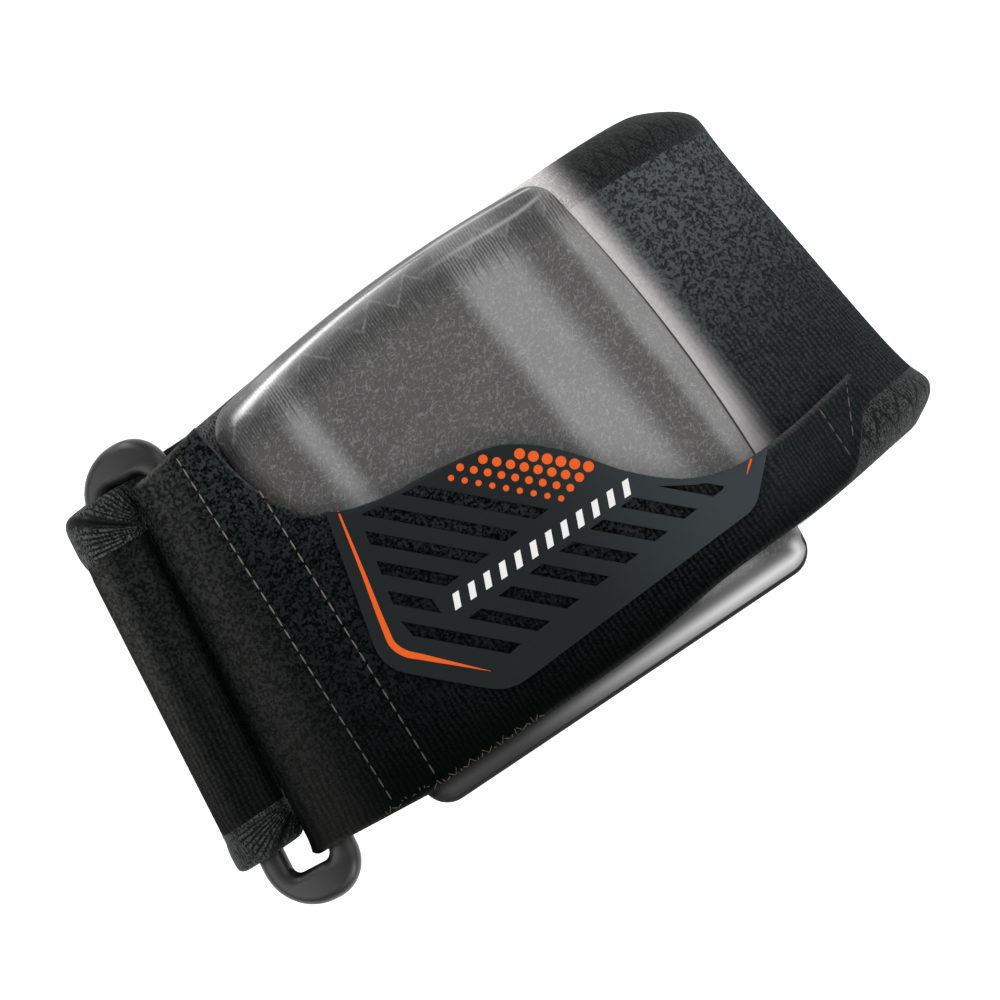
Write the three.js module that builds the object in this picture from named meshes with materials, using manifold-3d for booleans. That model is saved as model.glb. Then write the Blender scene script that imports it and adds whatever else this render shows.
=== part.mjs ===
// Elbow support worn round the upper forearm: a flattened, slightly conical knit sleeve with rolled hems, a gel
// pad on its front, and a pull strap that turns round a plastic ring and crosses the pad to a pointed tip.
// Millimetres, +Z up. The sleeve lies on its back: +X runs along the strap to its tip, +Y along the arm to the
// narrow rim, and the front faces up.
import * as THREE from "three";
import { mergeVertices } from "three/addons/utils/BufferGeometryUtils.js";
import Module from "manifold-3d";

const { clamp, degToRad, lerp, smoothstep } = THREE.MathUtils;

// Driving sizes

const CLEARANCE = 0.3; // between pieces that touch

const SLEEVE = {
  centreX: -0.65,
  halfWidth: 63.4, // of the oval section, at y = 0
  centreHeight: 23.5,
  halfHeight: 25,
  roundness: 2.4, // exponent of the oval, 2 for an ellipse
  taper: 0.0019, // share of the section lost for each millimetre along +Y
  wall: 2.6,
  frontEndTurn: 122, // degrees round the oval, from +X towards the front
  leftSideTurn: -188,
  wrapStart: 165, // degrees round the ring's left bar
  wrapEnd: -95,
};

const HEM = { width: 7.5, wall: 3, upperCurl: 4.7, lowerCurl: 3.6, upperPuff: 0.6, lowerPuff: 1.9 };

const RING = {
  centreX: -52.1,
  centreY: 1.5,
  centreHeight: 43,
  yaw: 6.3, // degrees that its bars lean with the sleeve's taper
  roll: 20, // degrees that the left bar sits lower than the right one
  barSpacing: 11.7,
  barWidth: 4.4,
  thickness: 3.6,
  length: 80.2,
  slotLength: 67.8,
  leftRadius: 8.8,
  rightRadius: 6.4,
  slotRadius: 1.6,
  edgeRadius: 1.3,
};
const BAR_SEAT = 2.65; // inner radius of cloth that turns round a bar

const PAD = {
  thickness: 4.6,
  rimHeight: 1,
  rimRound: 6,
  cornerRadius: 4.4,
  leftAtTop: -32.4,
  leftAtBottom: -35.2,
  right: 37.8,
  rightBow: 0.0016,
  rightPeakY: -10,
  bottomAtLeft: -35.9,
  bottomAtRight: -35.4,
  top: 40.1,
  topBow: 0.0023,
  topPeakX: 12,
};

const STRAP = {
  thickness: 1.9,
  tipX: 56.3,
  cornerX: -33.7, // where the upper edge leaves the pad's left side
  cornerY: 36.1,
  foldUpper: 33.9,
  foldLower: -30.9,
  landStart: 36.5, // the strap comes down from the pad to the sleeve between these
  landEnd: 47,
  reachAngle: 112, // degrees round the ring's right bar
  wrapEnd: 325,
  flapLength: 4.2,
};
const PAD_LIFT = PAD.thickness + 2 * CLEARANCE;

const PATCH = {
  thickness: 0.8,
  seat: 0.45, // above the strap, whose facets differ from the patch's
  left: -30.5,
  right: 40.6,
  slotWidth: 1.85,
  slotPitch: 4.3, // across the slots, as slotStart is
  slotStart: -22.5,
  slotCount: 8,
  slotAngle: -44,
  slotLength: 80,
};

// Rims of the sleeve, round the section from the front end to the ring
const SLEEVE_RIMS = [
  { turn: 122, lower: -32.4, upper: 36.0 },
  { turn: 90, lower: -31.8, upper: 39.2 },
  { turn: 55, lower: -28.9, upper: 39.8 },
  { turn: 28, lower: -26.6, upper: 39.2 },
  { turn: 0, lower: -25.9, upper: 38.2 },
  { turn: -90, lower: -26.5, upper: 36.8 },
  { turn: -180, lower: -27.0, upper: 35.2 },
  { turn: -215, lower: -27.8, upper: 34.4 },
];

// Wavy upper edge of the strap, from the pad's left side to the tip
const STRAP_UPPER_EDGE = [
  { x: -33.7, y: 36.1 },
  { x: -32.3, y: 27.1 },
  { x: -28.8, y: 18.5 },
  { x: -23.1, y: 13.2 },
  { x: -16.8, y: 10.9 },
  { x: -4.3, y: 9.4 },
  { x: 5.9, y: 6.7 },
  { x: 13.0, y: 0.6 },
  { x: 18.8, y: -6.9 },
  { x: 25.8, y: -13.1 },
  { x: 33.4, y: -15.9 },
  { x: 43.7, y: -15.7 },
  { x: 56.3, y: -13.8 },
];

// Lower edge of the strap, and the slanted end below the tip
const STRAP_LOWER_EDGE = [
  { x: -33.7, y: -32.5 },
  { x: -13.3, y: -32.3 },
  { x: 7.4, y: -31.6 },
  { x: 22.2, y: -29.8 },
  { x: 44.0, y: -28.4 },
  { x: 49.2, y: -27.2 },
  { x: 51.7, y: -24.5 },
  { x: 53.6, y: -22.0 },
  { x: 55.2, y: -19.5 },
  { x: 56.3, y: -14.8 },
];

// Corners of the patch below the strap's wavy edge, with the radius of each
const PATCH_CORNERS = [
  { x: -22.8, y: 21.0, radius: 0 },
  { x: -30.0, y: -12.0, radius: 4 },
  { x: -15.4, y: -26.0, radius: 3.5 },
  { x: 32.9, y: -23.2, radius: 2 },
  { x: 44.0, y: -12.2, radius: 0 },
  { x: 44.0, y: 21.0, radius: 0 },
];

// Fields of the patch that the slots open, above and below its bare strip
const SLOT_FIELDS = [
  [
    { x: -9.2, y: 8.9 },
    { x: -19.5, y: 10.1 },
    { x: -20.4, y: 7.6 },
    { x: -23.6, y: -7.0 },
    { x: -17.5, y: -11.0 },
    { x: -17.5, y: -6.8 },
    { x: 5.6, y: -5.4 },
  ],
  [
    { x: -23.6, y: -6.4 },
    { x: -16.6, y: -12.8 },
    { x: 20.5, y: -11.1 },
    { x: 27.0, y: -15.0 },
    { x: 31.5, y: -16.9 },
    { x: 30.1, y: -17.9 },
    { x: -9.7, y: -20.6 },
    { x: -12.2, y: -21.0 },
    { x: -23.1, y: -10.4 },
  ],
];

const COLOURS = {
  knit: { color: 0x1b1f21, roughness: 0.95 },
  hem: { color: 0x17191b, roughness: 0.9 },
  ring: { color: 0x3b3c3e, roughness: 0.45 },
  pad: { color: 0x73757a, roughness: 0.15 },
  strap: { color: 0x14181a, roughness: 0.95 },
  patch: { color: 0x2a3236, roughness: 0.6 },
};

// Curves and tables

// Smooth curve through one column of a table, flat beyond its ends.
function columnCurve(rows, key, column) {
  const ordered = [...rows].sort((a, b) => a[key] - b[key]);
  const keys = ordered.map((row) => row[key]);
  const values = ordered.map((row) => row[column]);
  const curve = new THREE.CubicInterpolant(keys, values, 1, new Float64Array(1));
  return (at) => curve.evaluate(clamp(at, keys[0], keys.at(-1)))[0];
}

const lowerRim = columnCurve(SLEEVE_RIMS, "turn", "lower");
const upperRim = columnCurve(SLEEVE_RIMS, "turn", "upper");
const strapUpperEdge = columnCurve(STRAP_UPPER_EDGE, "x", "y");
const strapLowerEdge = columnCurve(STRAP_LOWER_EDGE, "x", "y");

// Steps that crowd towards both ends of a run.
function crowdEnds(share) {
  const even = 0.3;
  return lerp((1 - Math.cos(Math.PI * share)) / 2, share, even);
}

function signedPower(value, power) {
  return Math.sign(value) * Math.abs(value) ** power;
}

function polar(centre, radius, degrees) {
  const angle = degToRad(degrees);
  return new THREE.Vector2(centre.x + radius * Math.cos(angle), centre.y + radius * Math.sin(angle));
}

// Sections: points are (x, height) in the plane at one y

function sectionScale(y) {
  return 1 - SLEEVE.taper * y;
}

// Point of the sleeve's oval at a turn in degrees; it is flat where it rests.
function ovalPoint(turn, y) {
  const scale = sectionScale(y);
  const angle = degToRad(turn);
  const power = 2 / SLEEVE.roundness;
  const x = SLEEVE.centreX + scale * SLEEVE.halfWidth * signedPower(Math.cos(angle), power);
  const height = SLEEVE.centreHeight + SLEEVE.halfHeight * signedPower(Math.sin(angle), power);
  return new THREE.Vector2(x, scale * Math.max(0, height));
}

// Height of the front at (x, y), on the oval grown by a lift.
function frontHeight(x, y, lift) {
  const scale = sectionScale(y);
  const across = Math.abs(x - SLEEVE.centreX) / (scale * SLEEVE.halfWidth + lift);
  const rise = (1 - Math.min(across, 1) ** SLEEVE.roundness) ** (1 / SLEEVE.roundness);
  return scale * SLEEVE.centreHeight + (scale * SLEEVE.halfHeight + lift) * rise;
}

// Turn round the oval of the front point at (x, y), in degrees.
function frontTurn(x, y) {
  const across = (x - SLEEVE.centreX) / (sectionScale(y) * SLEEVE.halfWidth);
  const cosine = signedPower(clamp(across, -1, 1), SLEEVE.roundness / 2);
  return THREE.MathUtils.radToDeg(Math.acos(cosine));
}

// Directions of the ring: along its bars, across them, and out of its face.
const ringAlong = new THREE.Vector3(
  Math.tan(degToRad(RING.yaw)),
  1,
  -SLEEVE.taper * RING.centreHeight,
).normalize();
const ringAcross = new THREE.Vector3(Math.cos(degToRad(RING.roll)), 0, Math.sin(degToRad(RING.roll)));
ringAcross.addScaledVector(ringAlong, -ringAcross.dot(ringAlong)).normalize();
const ringOut = new THREE.Vector3().crossVectors(ringAcross, ringAlong);
const ringCentre = new THREE.Vector3(RING.centreX, RING.centreY, RING.centreHeight);

// Centre of the left (-1) or right (+1) bar where it crosses the plane at y.
function barCentre(side, y) {
  const centre = ringCentre.clone().addScaledVector(ringAcross, (side * RING.barSpacing) / 2);
  centre.addScaledVector(ringAlong, (y - centre.y) / ringAlong.y);
  return new THREE.Vector2(centre.x, centre.z);
}

// Smooth bridge between two points that leaves and arrives along given directions.
function bridge(start, startWay, end, endWay, share) {
  const pull = start.distanceTo(end) / 3;
  const first = start.clone().addScaledVector(startWay, pull);
  const second = end.clone().addScaledVector(endWay, -pull);
  return new THREE.CubicBezierCurve(start, first, second, end).getPoint(share);
}

// Unit direction of a path at a station, and the direction on its left.
function wayAt(path, station, last, y) {
  const nudge = 0.15;
  const before = path(Math.max(0, station - nudge), y);
  return path(Math.min(last, station + nudge), y).sub(before).normalize();
}

function leftOf(way) {
  return new THREE.Vector2(-way.y, way.x);
}

// Sleeve and hems

const SLEEVE_STEPS = { oval: 40, rise: 4, wrap: 10 };
const SLEEVE_LAST = SLEEVE_STEPS.oval + SLEEVE_STEPS.rise + SLEEVE_STEPS.wrap;

function sleeveTurn(station) {
  return lerp(SLEEVE.frontEndTurn, SLEEVE.leftSideTurn, station / SLEEVE_STEPS.oval);
}

// Outer face of the sleeve: round the oval, up the left side, and round the ring's left bar.
function sleevePath(station, y) {
  const { oval, rise, wrap } = SLEEVE_STEPS;
  if (station <= oval) return ovalPoint(sleeveTurn(station), y);
  const bar = barCentre(-1, y);
  const radius = BAR_SEAT + SLEEVE.wall;
  if (station >= oval + rise) {
    const share = (station - oval - rise) / wrap;
    return polar(bar, radius, lerp(SLEEVE.wrapStart, SLEEVE.wrapEnd, share));
  }
  const side = ovalPoint(SLEEVE.leftSideTurn, y);
  const up = side.clone().sub(ovalPoint(SLEEVE.leftSideTurn + 1, y)).normalize();
  const onBar = polar(bar, radius, SLEEVE.wrapStart);
  const over = polar(new THREE.Vector2(), 1, SLEEVE.wrapStart - 90);
  return bridge(side, up, onBar, over, (station - oval) / rise);
}

// Point of the sleeve's wall, a depth below its outer face.
function sleevePoint(station, y, depth) {
  const out = leftOf(wayAt(sleevePath, station, SLEEVE_LAST, y));
  const point = sleevePath(station, y).addScaledVector(out, -depth);
  return new THREE.Vector3(point.x, y, point.y);
}

// A hem curls in at its rim all round the arm, and lies flat round the bar.
function curlShare(station) {
  return 1 - smoothstep(station, SLEEVE_STEPS.oval - 3, SLEEVE_STEPS.oval + SLEEVE_STEPS.rise - 1);
}

// How far a hem stands in from the sleeve's face, at a share of its width from the seam to the rim.
// At the left and right ends of the oval it first puffs out.
function hemSink(share, turn, curl, puff) {
  const atEnds = Math.cos(degToRad(turn)) ** 6;
  return curl * share ** 2.4 - atEnds * puff * Math.sin(Math.PI * Math.min(1, share * 1.2));
}

function sleeveWall() {
  return bentSlab([SLEEVE_LAST, 5, 1], (along, across, through) => {
    const station = along * SLEEVE_LAST;
    const turn = sleeveTurn(station);
    const seamLow = lowerRim(turn) + HEM.width;
    const seamHigh = upperRim(turn) - HEM.width;
    return sleevePoint(station, lerp(seamLow, seamHigh, across), SLEEVE.wall * (1 - through));
  });
}

// side is -1 for the wide rim at -Y and +1 for the narrow rim at +Y.
function hem(side) {
  const rim = side < 0 ? lowerRim : upperRim;
  const curl = side < 0 ? HEM.lowerCurl : HEM.upperCurl;
  const puff = side < 0 ? HEM.lowerPuff : HEM.upperPuff;
  const edgeWall = 0.45; // of the hem's wall, left at its rounded rim
  return bentSlab([SLEEVE_LAST, 5, 1], (along, across, through) => {
    const station = along * SLEEVE_LAST;
    const turn = sleeveTurn(station);
    const share = side < 0 ? 1 - across : across;
    const y = rim(turn) - side * (1 - share) * (HEM.width - CLEARANCE);
    const wall = lerp(SLEEVE.wall, HEM.wall, curlShare(station));
    const rounding = lerp(1, edgeWall, smoothstep(share, 0.55, 1) ** 2);
    const sink = curlShare(station) * hemSink(share, turn, curl, puff);
    const middle = wall / 2 + sink;
    return sleevePoint(station, y, middle + (0.5 - through) * wall * rounding);
  });
}

// Pad

function padOutline(across, along) {
  const roughY = lerp(PAD.bottomAtLeft, PAD.top, along);
  const left = lerp(PAD.leftAtBottom, PAD.leftAtTop, along);
  const right = PAD.right - PAD.rightBow * (roughY - PAD.rightPeakY) ** 2;
  const x = lerp(left, right, across);
  const fromSide = Math.min(x - left, right - x);
  const cut = Math.max(0, PAD.cornerRadius - fromSide);
  const drop = PAD.cornerRadius - Math.sqrt(PAD.cornerRadius ** 2 - cut ** 2);
  const top = PAD.top - PAD.topBow * (x - PAD.topPeakX) ** 2 - drop;
  const bottom = lerp(PAD.bottomAtLeft, PAD.bottomAtRight, across) + drop;
  const y = lerp(bottom, top, along);
  return { x, y, fromRim: Math.min(fromSide, y - bottom, top - y) };
}

function pressurePad() {
  return bentSlab([20, 16, 1], (along, across, through) => {
    const { x, y, fromRim } = padOutline(crowdEnds(along), crowdEnds(across));
    const inset = 1 - Math.min(1, fromRim / PAD.rimRound);
    const crown = Math.sqrt(1 - inset ** 2);
    const height = PAD.rimHeight + (PAD.thickness - PAD.rimHeight) * crown;
    return new THREE.Vector3(x, y, frontHeight(x, y, CLEARANCE + through * height));
  });
}

// Strap

const STRAP_STEPS = { front: 38, reach: 5, wrap: 10, flap: 2 };
const STRAP_LAST = STRAP_STEPS.front + STRAP_STEPS.reach + STRAP_STEPS.wrap + STRAP_STEPS.flap;

// Lift of the strap's inner face over the sleeve: over the pad, then down onto the sleeve near the tip.
function strapLift(x) {
  return lerp(PAD_LIFT, CLEARANCE, smoothstep(x, STRAP.landStart, STRAP.landEnd));
}

// Near the tip the strap follows the curl of the lower hem.
function strapSink(x, y) {
  const turn = frontTurn(x, y);
  const share = clamp(1 - (y - lowerRim(turn)) / HEM.width, 0, 1);
  const landed = smoothstep(x, STRAP.landStart, STRAP.landEnd);
  return landed * hemSink(share, turn, HEM.lowerCurl, HEM.lowerPuff);
}

function strapFrontX(station) {
  return lerp(STRAP.tipX, STRAP.cornerX, crowdEnds(station / STRAP_STEPS.front));
}

// Inner face of the strap: from the tip along the front, round the ring's right bar, and back under itself.
function strapPath(station, y) {
  const { front, reach, wrap, flap } = STRAP_STEPS;
  const frontPoint = (at) => {
    const x = strapFrontX(at);
    return new THREE.Vector2(x, frontHeight(x, y, strapLift(x)) - strapSink(x, y));
  };
  if (station <= front) return frontPoint(station);
  const bar = barCentre(1, y);
  if (station < front + reach) {
    const start = frontPoint(front);
    const away = start.clone().sub(frontPoint(front - 0.1)).normalize();
    const onBar = polar(bar, BAR_SEAT, STRAP.reachAngle);
    const over = polar(new THREE.Vector2(), 1, STRAP.reachAngle + 90);
    return bridge(start, away, onBar, over, (station - front) / reach);
  }
  const share = Math.min(1, (station - front - reach) / wrap);
  const round = polar(bar, BAR_SEAT, lerp(STRAP.reachAngle, STRAP.wrapEnd, share));
  const beyond = Math.max(0, (station - front - reach - wrap) / flap);
  const back = polar(new THREE.Vector2(), 1, STRAP.wrapEnd + 90);
  return round.addScaledVector(back, beyond * STRAP.flapLength);
}

// Edges of the strap at a station, along Y.
function strapEdges(station) {
  const { front, reach } = STRAP_STEPS;
  if (station <= front) {
    const x = strapFrontX(station);
    return { lower: strapLowerEdge(x), upper: strapUpperEdge(x) };
  }
  const share = Math.min(1, (station - front) / reach);
  return {
    lower: lerp(strapLowerEdge(STRAP.cornerX), STRAP.foldLower, share),
    upper: lerp(STRAP.cornerY, STRAP.foldUpper, share),
  };
}

function pullStrap() {
  return bentSlab([STRAP_LAST, 7, 1], (along, across, through) => {
    const station = (1 - along) * STRAP_LAST;
    const edges = strapEdges(station);
    const y = lerp(edges.lower, edges.upper, across);
    const inward = leftOf(wayAt(strapPath, station, STRAP_LAST, y));
    const point = strapPath(station, y).addScaledVector(inward, -through * STRAP.thickness);
    return new THREE.Vector3(point.x, y, point.y);
  });
}

// Patch

// Polygon with some corners rounded.
function roundedOutline(corners) {
  const shape = new THREE.Shape();
  corners.forEach((corner, index) => {
    const here = new THREE.Vector2(corner.x, corner.y);
    const radius = corner.radius ?? 0;
    const towards = (other) => new THREE.Vector2(other.x, other.y).sub(here).setLength(radius).add(here);
    const start = towards(corners.at(index - 1));
    const end = towards(corners[(index + 1) % corners.length]);
    if (index === 0) shape.moveTo(start.x, start.y);
    else shape.lineTo(start.x, start.y);
    if (radius > 0) shape.quadraticCurveTo(here.x, here.y, end.x, end.y);
  });
  return shape;
}

// Upright block of an outline, tall enough to pass through the whole part.
function upright(shape) {
  const depth = 90;
  return new THREE.ExtrudeGeometry(shape, { depth, bevelEnabled: false, curveSegments: 5 });
}

// Thin layer on the strap's outer face, up to its wavy edge.
function patchLayer() {
  const lowest = -28; // below the patch's own outline
  return bentSlab([26, 5, 1], (along, across, through) => {
    const x = lerp(PATCH.left, PATCH.right, along);
    const y = lerp(lowest, strapUpperEdge(x) - CLEARANCE, across);
    const lift = strapLift(x) + STRAP.thickness + PATCH.seat + through * PATCH.thickness;
    return new THREE.Vector3(x, y, frontHeight(x, y, lift) - strapSink(x, y));
  });
}

function slotBars() {
  const bars = [];
  for (let index = 0; index < PATCH.slotCount; index += 1) {
    const outline = new THREE.Shape();
    const half = { length: PATCH.slotLength / 2, width: PATCH.slotWidth / 2 };
    outline.moveTo(-half.length, -half.width);
    outline.lineTo(half.length, -half.width);
    outline.lineTo(half.length, half.width);
    outline.lineTo(-half.length, half.width);
    const across = PATCH.slotStart + index * PATCH.slotPitch;
    bars.push(solidOf(upright(outline).translate(0, across, 0).rotateZ(degToRad(PATCH.slotAngle))));
  }
  return bars.reduce((all, bar) => all.add(bar));
}

function ventPatch() {
  const block = (corners) => solidOf(upright(roundedOutline(corners)));
  const patch = solidOf(patchLayer()).intersect(block(PATCH_CORNERS));
  const bars = slotBars();
  const cut = (solid, field) => solid.subtract(bars.intersect(block(field)));
  return geometryOf(SLOT_FIELDS.reduce(cut, patch));
}

// Ring

function strapRing() {
  const width = RING.barSpacing + RING.barWidth;
  const plate = new THREE.Shape();
  roundRectangle(plate, width, RING.length, RING.leftRadius, RING.rightRadius);
  const slot = new THREE.Path();
  roundRectangle(slot, RING.barSpacing - RING.barWidth, RING.slotLength, RING.slotRadius, RING.slotRadius);
  plate.holes.push(slot);
  const ring = new THREE.ExtrudeGeometry(plate, {
    depth: RING.thickness - 2 * RING.edgeRadius,
    bevelThickness: RING.edgeRadius,
    bevelSize: RING.edgeRadius,
    bevelOffset: -RING.edgeRadius,
    bevelSegments: 3,
    curveSegments: 6,
  });
  return ring.translate(0, 0, RING.edgeRadius - RING.thickness / 2);
}

function roundRectangle(path, width, length, leftRadius, rightRadius) {
  const quarter = Math.PI / 2;
  const left = leftRadius - width / 2;
  const right = width / 2 - rightRadius;
  const leftEnd = length / 2 - leftRadius;
  const rightEnd = length / 2 - rightRadius;
  path.moveTo(right, -length / 2);
  path.absarc(right, -rightEnd, rightRadius, -quarter, 0);
  path.absarc(right, rightEnd, rightRadius, 0, quarter);
  path.absarc(left, leftEnd, leftRadius, quarter, 2 * quarter);
  path.absarc(left, -leftEnd, leftRadius, 2 * quarter, 3 * quarter);
}

// Solids

// Closed slab: a box with steps along, across and through it, whose points place() puts where they belong.
function bentSlab([alongSteps, acrossSteps, throughSteps], place) {
  const box = new THREE.BoxGeometry(1, 1, 1, alongSteps, acrossSteps, throughSteps);
  box.deleteAttribute("normal");
  box.deleteAttribute("uv");
  const slab = mergeVertices(box, 1e-5);
  const points = slab.getAttribute("position");
  const share = new THREE.Vector3();
  for (let i = 0; i < points.count; i += 1) {
    share.fromBufferAttribute(points, i).addScalar(0.5);
    points.setXYZ(i, ...place(share.x, share.y, share.z).toArray());
  }
  return slab;
}

const wasm = await Module();
wasm.setup();

function solidOf(geometry) {
  const bare = geometry.clone();
  bare.deleteAttribute("normal");
  bare.deleteAttribute("uv");
  const merged = mergeVertices(bare, 1e-4);
  const vertProperties = new Float32Array(merged.getAttribute("position").array);
  const triVerts = new Uint32Array(merged.index.array);
  return new wasm.Manifold(new wasm.Mesh({ numProp: 3, vertProperties, triVerts }));
}

function geometryOf(solid) {
  const { vertProperties, triVerts } = solid.getMesh();
  const geometry = new THREE.BufferGeometry();
  geometry.setAttribute("position", new THREE.BufferAttribute(vertProperties, 3));
  geometry.setIndex(new THREE.BufferAttribute(triVerts, 1));
  return geometry;
}

function piece(name, geometry, finish) {
  geometry.computeVertexNormals();
  const mesh = new THREE.Mesh(geometry, new THREE.MeshStandardMaterial({ ...finish, metalness: 0 }));
  mesh.name = name;
  return mesh;
}

// Assembly

const assembly = new THREE.Group();
assembly.add(
  piece("sleeve_body", sleeveWall(), COLOURS.knit),
  piece("hem_lower", hem(-1), COLOURS.hem),
  piece("hem_upper", hem(1), COLOURS.hem),
  piece("pressure_pad", pressurePad(), COLOURS.pad),
  piece("pull_strap", pullStrap(), COLOURS.strap),
  piece("vent_patch", ventPatch(), COLOURS.patch),
);

const ring = piece("strap_ring", strapRing(), COLOURS.ring);
ring.position.copy(ringCentre);
ring.quaternion.setFromRotationMatrix(new THREE.Matrix4().makeBasis(ringAcross, ringAlong, ringOut));
assembly.add(ring);

// The origin is under the middle of the whole part, on the surface that it lies on.
const bounds = new THREE.Box3().setFromObject(assembly, true);
const middle = bounds.getCenter(new THREE.Vector3());
assembly.position.set(-middle.x, -middle.y, -bounds.min.z);

const elbowSupport = new THREE.Group();
elbowSupport.add(assembly);

export default elbowSupport;
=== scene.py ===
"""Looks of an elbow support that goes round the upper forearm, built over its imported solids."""

import math

import bmesh
import bpy
import numpy as np
from bpy.props import FloatProperty, FloatVectorProperty, IntProperty, PointerProperty
from mathutils import Matrix, Vector


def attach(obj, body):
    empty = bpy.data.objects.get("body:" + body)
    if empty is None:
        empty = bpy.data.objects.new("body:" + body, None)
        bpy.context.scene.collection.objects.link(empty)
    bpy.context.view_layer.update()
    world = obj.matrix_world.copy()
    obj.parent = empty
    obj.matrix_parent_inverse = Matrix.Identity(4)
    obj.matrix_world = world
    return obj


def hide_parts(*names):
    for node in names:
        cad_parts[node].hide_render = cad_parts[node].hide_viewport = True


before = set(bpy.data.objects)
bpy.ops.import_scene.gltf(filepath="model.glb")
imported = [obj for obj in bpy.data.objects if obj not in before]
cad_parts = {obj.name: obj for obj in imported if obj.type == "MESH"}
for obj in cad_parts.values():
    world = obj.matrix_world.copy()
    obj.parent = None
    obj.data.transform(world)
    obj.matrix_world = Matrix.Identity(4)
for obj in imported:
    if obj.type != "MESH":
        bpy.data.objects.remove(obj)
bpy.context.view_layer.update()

bl_info = {
    "name": "Elbow Support",
    "version": (1, 0, 0),
    "blender": (4, 5, 0),
    "location": "View3D > Sidebar > Elbow Support",
    "description": "Knit, hems, gel pad, strap, patch, ring and thread of an elbow support",
    "category": "Object",
}

MM = 0.001
TURN = 2 * math.pi
CLOTH_UV = 100.0  # millimetres of cloth for one unit of its UV map

# The shapes are worked out about the middle of the photo, which lies here in the part's frame.
PHOTO_MIDDLE = np.array([0.5443, -1.4120, 0.0]) * MM


# Sizes and colours that a user may change


def length(name, description, millimetres):
    return FloatProperty(name=name, description=description, default=millimetres * MM, unit="LENGTH")


def angle(name, description, degrees):
    return FloatProperty(name=name, description=description, default=math.radians(degrees), subtype="ANGLE")


def number(name, description, value):
    return FloatProperty(name=name, description=description, default=value)


def colour(name, description, red, green, blue):
    return FloatVectorProperty(
        name=name, description=description, default=(red, green, blue), size=3, min=0, max=1, subtype="COLOR"
    )


class SleeveSizes(bpy.types.PropertyGroup):
    centre_x: length("Centre", "Middle of the loop along the strap", -0.2)
    half_width: length("Half width", "Half of the loop's width, half-way along the arm", 63.85)
    centre_height: length("Centre height", "Height of the loop's middle", 23.5)
    half_height: length("Half height", "Half of the loop's height before it is flattened where it lies", 25)
    wall: length("Wall", "Thickness of the knit-faced foam", 2.6)
    hem_width: length("Hem width", "Width of the rolled hems", 7.5)
    hem_wall: length("Hem wall", "Thickness of the hems", 3)
    upper_curl: length("Upper curl", "How far the narrow rim curls in", 4.7)
    lower_curl: length("Lower curl", "How far the wide rim curls in", 3.6)
    upper_puff: length("Upper puff", "How far the narrow hem swells at the sides", 0.9)
    lower_puff: length("Lower puff", "How far the wide hem swells at the sides", 1.9)
    hem_reach: length("Hem reach", "How far the soft hems reach past their rims at the sides", 0.9)
    gather_pitch: length("Gather pitch", "Distance between the zigzag creases of the hems", 5.4)
    gather_depth: length("Gather depth", "Depth of the zigzag creases of the hems", 0.16)
    roundness: number("Roundness", "Exponent of the oval section, 2 for an ellipse", 2.4)
    taper: number("Taper", "Share of the section lost for each metre along the arm", 1.9)


class RingSizes(bpy.types.PropertyGroup):
    centre_x: length("Centre along the strap", "Middle of the ring along the strap", -52.1)
    centre_y: length("Centre along the arm", "Middle of the ring along the arm", 1.5)
    centre_height: length("Centre height", "Height of the ring's middle", 43)
    yaw: angle("Yaw", "How far the bars lean with the sleeve's taper", 6.3)
    roll: angle("Roll", "How much lower the left bar sits than the right one", 20)
    skew: angle("Skew", "How far the ring has turned on its face within the cloth", -0.9)
    bar_spacing: length("Bar spacing", "Distance between the middles of the bars", 11.7)
    bar_width: length("Bar width", "Width of each bar", 4.4)
    bar_seat: length("Bar seat", "Inner radius of cloth that turns round a bar", 2.65)
    thickness: length("Thickness", "Thickness of the ring", 3.6)
    length: length("Length", "Length of the ring", 80.2)
    slot_length: length("Slot length", "Length of the ring's slot", 67.8)
    left_radius: length("Left radius", "Radius of the two corners by the sleeve", 8.8)
    right_radius: length("Right radius", "Radius of the two corners by the strap", 6.4)
    slot_radius: length("Slot radius", "Radius of the slot's corners", 1.6)
    edge_radius: length("Edge radius", "Rounding of the ring's edges", 1.5)


class PadSizes(bpy.types.PropertyGroup):
    thickness: length("Thickness", "Height of the pad over the sleeve", 4.6)
    rim_height: length("Rim height", "Height of the pad at its rim", 0.9)
    rim_round: length("Rim rounding", "Distance over which the rim rounds into the top", 6)
    corner_radius: length("Corner radius", "Radius of the pad's corners", 4.4)
    left_at_top: length("Left at the narrow end", "Left edge at the narrow end", -32.4)
    left_at_bottom: length("Left at the wide end", "Left edge at the wide end", -35.2)
    right: length("Right", "Furthest place of the right edge", 37.8)
    right_peak_y: length("Right peak", "Place along the arm where the right edge reaches furthest", -10)
    right_bow: number("Right bow", "Bow of the right edge, for each metre from its peak squared", 1.6)
    bottom_at_left: length("Bottom at the left", "Wide end at the left", -35.9)
    bottom_at_right: length("Bottom at the right", "Wide end at the right", -35.4)
    top: length("Top", "Furthest place of the narrow end", 40.1)
    top_peak_x: length("Top peak", "Place along the strap where the narrow end reaches furthest", 12)
    top_bow: number("Top bow", "Bow of the narrow end, for each metre from its peak squared", 2.3)


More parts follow.
